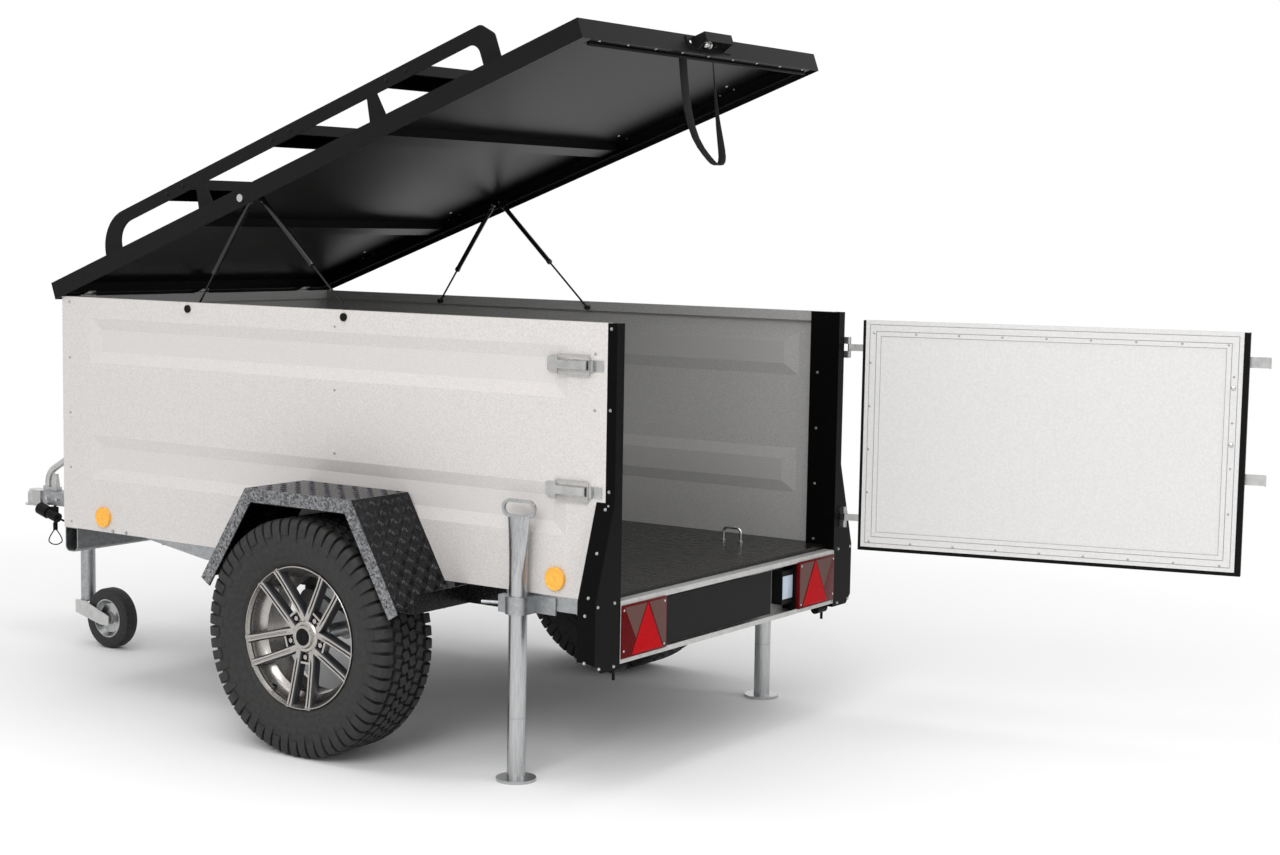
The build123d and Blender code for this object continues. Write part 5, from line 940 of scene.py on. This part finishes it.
made = bmesh.new()
for side, hand in SIDES:
    middle = on_lamp(side, LENS_DEPTH / 2, LAMP_LENGTH / 2, (LAMP_TOP + LAMP_LOW) / 2)
    block(made, (LENS_DEPTH, LAMP_LENGTH, LAMP_TOP - LAMP_LOW), middle)
eased(made, 3, 2)
for side, hand in SIDES:
    for finish, corners, rise in LENS_FIELDS:
        foot = [made.verts.new(on_lamp(side, LENS_DEPTH - FIELD_SUNK, *corner) * MM) for corner in corners]
        face = made.faces.new(foot)
        face.material_index = finish
        raised = bmesh.ops.inset_individual(made, faces=[face], thickness=1.2 * MM, use_even_offset=True)
        for side_face in raised["faces"]:
            side_face.material_index = finish
        bmesh.ops.translate(made, verts=face.verts[:], vec=spot(-rise - FIELD_SUNK, 0, 0))
    ridge = [made.verts.new(on_lamp(side, LENS_DEPTH + rise, *corner) * MM) for rise, corner in RIDGE]
    for corners in ((0, 3, 2), (3, 1, 2), (0, 1, 3)):
        made.faces.new([ridge[n] for n in corners]).material_index = LAMP_RED
    bmesh.ops.holes_fill(made, edges=[edge for edge in made.edges if edge.is_boundary])
faces_out(made)
finishes = [red_deep, red_acrylic, smoked_clear]
dress("tail_lamp_faces", "root", made, finishes, 25, ["tail_lamp_lenses"])

LENS_SCREWS = ((12, 34), (196, 34), (196, -70), (12, -78))
rows = []
for side, hand in SIDES:
    rows += [(on_lamp(side, LENS_DEPTH + 0.6, *place), (-1, 0, 0), SCREW) for place in LENS_SCREWS]
fasteners("tail_lamp_screws", "root", zinc, rivet_form, rows)

made = bmesh.new()
block(made, (6, 54, 66), (-2851.9, -309, -22))
eased(made, 1.5, 2)
dress("plate_lamp_window", "root", made, [plate_window], 35)


# Sill: its turned-in lips above and below, and the plates that close its ends

SILL_LIP = (2.5, 1091)
SILL_END = (4, 3, 158)
made = bmesh.new()
for low, high in ((44.0, 57.9), (-101.9, -88.5)):
    block(made, (*SILL_LIP, high - low), (-2866.0, 0, (low + high) / 2))
for side, hand in SIDES:
    block(made, SILL_END, (-2868.4, side * 545.2, -22))
eased(made, 0.7, 1)
dress("sill_lips", "root", made, [silver_coat], 35)


# Gas struts: the collar at each cylinder's open end, and the socket on its stud

STRUT_Y = 545.0
SOCKET = [(9, 4), (9, 7.6), (11, 8.8), (26, 8.8), (30, 7.4), (30, 4)]
# back from the cylinder's open end, out from its axis
COLLAR = [(12, 7.4), (11, 8.6), (2, 8.6), (0, 7.6), (0, 4), (12, 4)]
# end, the stud's and the pin's place along and up, the cylinder's reach from its stud
for end, stud, pin, reach in (
    ("front", (-1584.0, 1054.6), (-1365.0, 737.0), 262.0), ("rear", (-1612.2, 1064.9), (-1965.0, 737.0), 281.0),
):
    for side, hand in SIDES:
        made = bmesh.new()
        turned(made, [(reach - back, out) for back, out in COLLAR], 24)
        turned(made, SOCKET, 24)
        faces_out(made)
        run = Vector((pin[0] - stud[0], 0, pin[1] - stud[1])).normalized()
        axis = Vector((0, 1, 0)).rotation_difference(run).to_matrix()
        bmesh.ops.rotate(made, verts=made.verts, cent=(0, 0, 0), matrix=axis)
        seat(made, stud[0], side * STRUT_Y, stud[1])
        dress(f"strut_collars_{end}_{hand}", f"{end}_strut_{hand}", made, [strut_black], 35)


# Prop stands: the joint between the outer tube and its foot length

for side, hand in SIDES:
    made = bmesh.new()
    turned(made, [(-1.2, 23), (-1.2, 24.25), (1.2, 24.25), (1.2, 23)], 40)
    faces_out(made)
    swing(made, pi / 2, "X")
    seat(made, -2595, side * 612, -265)
    dress(f"stand_joint_{hand}", f"stand_{hand}", made, [galvanised], 35)


# Jockey wheel: a solid rubber tyre on a pressed disc

JOCKEY_TYRE = [(-25, 64), (-25, 90), (-22, 96.5), (-14, 99.6), (14, 99.6), (22, 96.5), (25, 90), (25, 64)]
JOCKEY_DISC = [
    (-21, 9), (-21, 19), (-8, 22), (-5, 32), (-5, 48), (-17, 57), (-23, 60), (-23, 65), (23, 65), (23, 60),
    (17, 57), (5, 48), (5, 32), (8, 22), (21, 19), (21, 9),
]
made = bmesh.new()
turned(made, JOCKEY_TYRE, 64, finish=0)
turned(made, JOCKEY_DISC, 48, finish=1)
faces_out(made)
seat(made, -516, 120, -330)
dress("jockey_wheel_dressed", "jockey_roller", made, [rubber, drawn_tube], 35, ["jockey_wheel"])


# Lead to the plug, and the breakaway rope under the coupling: each on its own route, as part.py has it

def lead(name, route, diameter, finish):
    """A round lead along a route of points, as one smooth spline."""
    line = bpy.data.curves.new(name, "CURVE")
    line.dimensions = "3D"
    line.bevel_depth = diameter / 2 * MM
    line.bevel_resolution = 4
    line.use_fill_caps = True
    spline = line.splines.new("NURBS")
    spline.points.add(len(route) - 1)
    for point, place in zip(spline.points, route):
        point.co = (*spot(*place), 1)
    spline.order_u = 3
    spline.use_endpoint_u = True
    spline.resolution_u = 12
    line.materials.append(finish)
    shown = bpy.data.objects.new(name, line)
    bpy.context.scene.collection.objects.link(shown)
    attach(shown, "root")
    return shown


LEAD_ROUTE = [
    (-244, 8, -7.3), (-244, 8, -23.3), (-237, 36.3, -45.8), (-203, 52.3, -45.8), (-170.3, 52.3, -36.5),
]
ROPE_ROUTE = [
    (-116.1, 21.7, -84), (-97.2, 38.7, -119), (-108.3, 28.7, -137), (-127.7, 11.3, -137), (-138.8, 1.3, -119),
    (-119.9, 18.3, -84),
]
plug_lead = lead("plug_lead", LEAD_ROUTE, 7.0, seal_rubber)
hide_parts("plug_cable")

SLEEVE = 8.0 * MM
made = bmesh.new()
bmesh.ops.create_cone(made, cap_ends=True, segments=20, radius1=SLEEVE, radius2=SLEEVE, depth=26 * MM)
seat(made, -118, 20, -73)
eased(made, 1.2, 2)
rope_sleeve = dress("rope_sleeve", "root", made, [moulded_black], 35)
made = bmesh.new()
block(made, (12, 4, 73.6), (-118, 20, -36.2))
eased(made, 1.0, 2)
dress("rope_hanger", "root", made, [moulded_black], 35)
rope = lead("breakaway_rope", ROPE_ROUTE, 4.0, seal_rubber)
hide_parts("safety_loop")


# Floor, light and camera, in metres

FLOOR_HALF = 30
FLOOR_BELOW_TYRES = 0.0002
floor_mesh = bmesh.new()
bmesh.ops.create_grid(floor_mesh, x_segments=2, y_segments=2, size=FLOOR_HALF)
bmesh.ops.translate(floor_mesh, verts=floor_mesh.verts, vec=(-1.5, 0, GROUND_Z * MM - FLOOR_BELOW_TYRES))
floor_data = bpy.data.meshes.new("floor")
floor_mesh.to_mesh(floor_data)
floor_mesh.free()
floor = bpy.data.objects.new("floor", floor_data)
bpy.context.scene.collection.objects.link(floor)
# Matt studio floor, nearly white
studio_floor, tree, sockets = finish_called("matt_white_studio_floor", "#F2F2F2", 0.0, 0.8, 0.1)
at = node(tree, "ShaderNodeTexCoord").outputs["Object"]
away = node(tree, "ShaderNodeVectorMath", {0: at, 1: (-1.6, 0, GROUND_Z * MM)}, operation="DISTANCE")
seen = node(tree, "ShaderNodeLightPath").outputs["Is Camera Ray"]
whiteness = node(tree, "ShaderNodeMath", {1: seen}, operation="MULTIPLY")
steer(tree, away.outputs["Value"], whiteness.inputs[0], span=(0.0, 1.0, 1.6, 3.6))
white = node(tree, "ShaderNodeEmission", {"Color": colour("#FFFFFF"), "Strength": 1.0})
matt = tree.nodes["Principled BSDF"].outputs[0]
faded = node(tree, "ShaderNodeMixShader", {0: whiteness.outputs[0], 1: matt, 2: white.outputs[0]})
tree.links.new(faded.outputs[0], tree.nodes["Material Output"].inputs["Surface"])
floor_data.materials.append(studio_floor)
floor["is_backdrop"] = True

# White sky that lights the scene softly, and looks whiter than it lights
world = bpy.data.worlds.new("studio")
bpy.context.scene.world = world
world.use_nodes = True
tree = world.node_tree
soft = tree.nodes["Background"]
soft.inputs["Color"].default_value = colour("#FFFFFF")
soft.inputs["Strength"].default_value = 0.62
rays = node(tree, "ShaderNodeLightPath").outputs
seen = node(tree, "ShaderNodeMath", {0: rays["Is Camera Ray"], 1: rays["Is Glossy Ray"]}, operation="MAXIMUM")
seen = node(tree, "ShaderNodeMath", {0: seen.outputs[0], 1: rays["Is Transmission Ray"]}, operation="MAXIMUM")
white = node(tree, "ShaderNodeBackground", {"Color": colour("#FFFFFF"), "Strength": 1.0})
mixed = node(tree, "ShaderNodeMixShader", {0: seen.outputs[0], 1: soft.outputs[0], 2: white.outputs[0]})
tree.links.new(mixed.outputs[0], tree.nodes["World Output"].inputs["Surface"])

for name, place, aim, size, power in (
    ("key", (-4.6, 5.6, 4.2), (-1.8, 0.2, 0.2), 3.5, 210),
    ("top", (-1.6, 0.5, 5.2), (-1.6, 0.0, 0.0), 4.5, 130),
    ("rear", (-7.0, -1.5, 2.6), (-2.4, 0.0, 0.3), 3.0, 60),
):
    lamp_data = bpy.data.lights.new(name, "AREA")
    lamp_data.size = size
    lamp_data.energy = power
    lamp = bpy.data.objects.new(name, lamp_data)
    lamp.location = place
    lamp.rotation_euler = (Vector(aim) - Vector(place)).to_track_quat("-Z", "Y").to_euler()
    bpy.context.scene.collection.objects.link(lamp)

LOOK_AZIMUTH = -0.9723
LOOK_PITCH = -0.0969
LOOK_ROLL = 0.0171
camera_data = bpy.data.cameras.new("camera")
camera_data.sensor_width = 36.0
camera_data.lens = 58.636
camera_data.clip_end = 200.0
camera = bpy.data.objects.new("camera", camera_data)
camera.location = (-5.8102, 4.7871, 0.9991)
camera.rotation_euler = (
    Matrix.Rotation(LOOK_AZIMUTH - pi / 2, 3, "Z")
    @ Matrix.Rotation(pi / 2 + LOOK_PITCH, 3, "X")
    @ Matrix.Rotation(LOOK_ROLL, 3, "Z")
).to_euler()
bpy.context.scene.collection.objects.link(camera)
bpy.context.scene.camera = camera
bpy.context.scene.view_settings.view_transform = "Standard"

low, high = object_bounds()
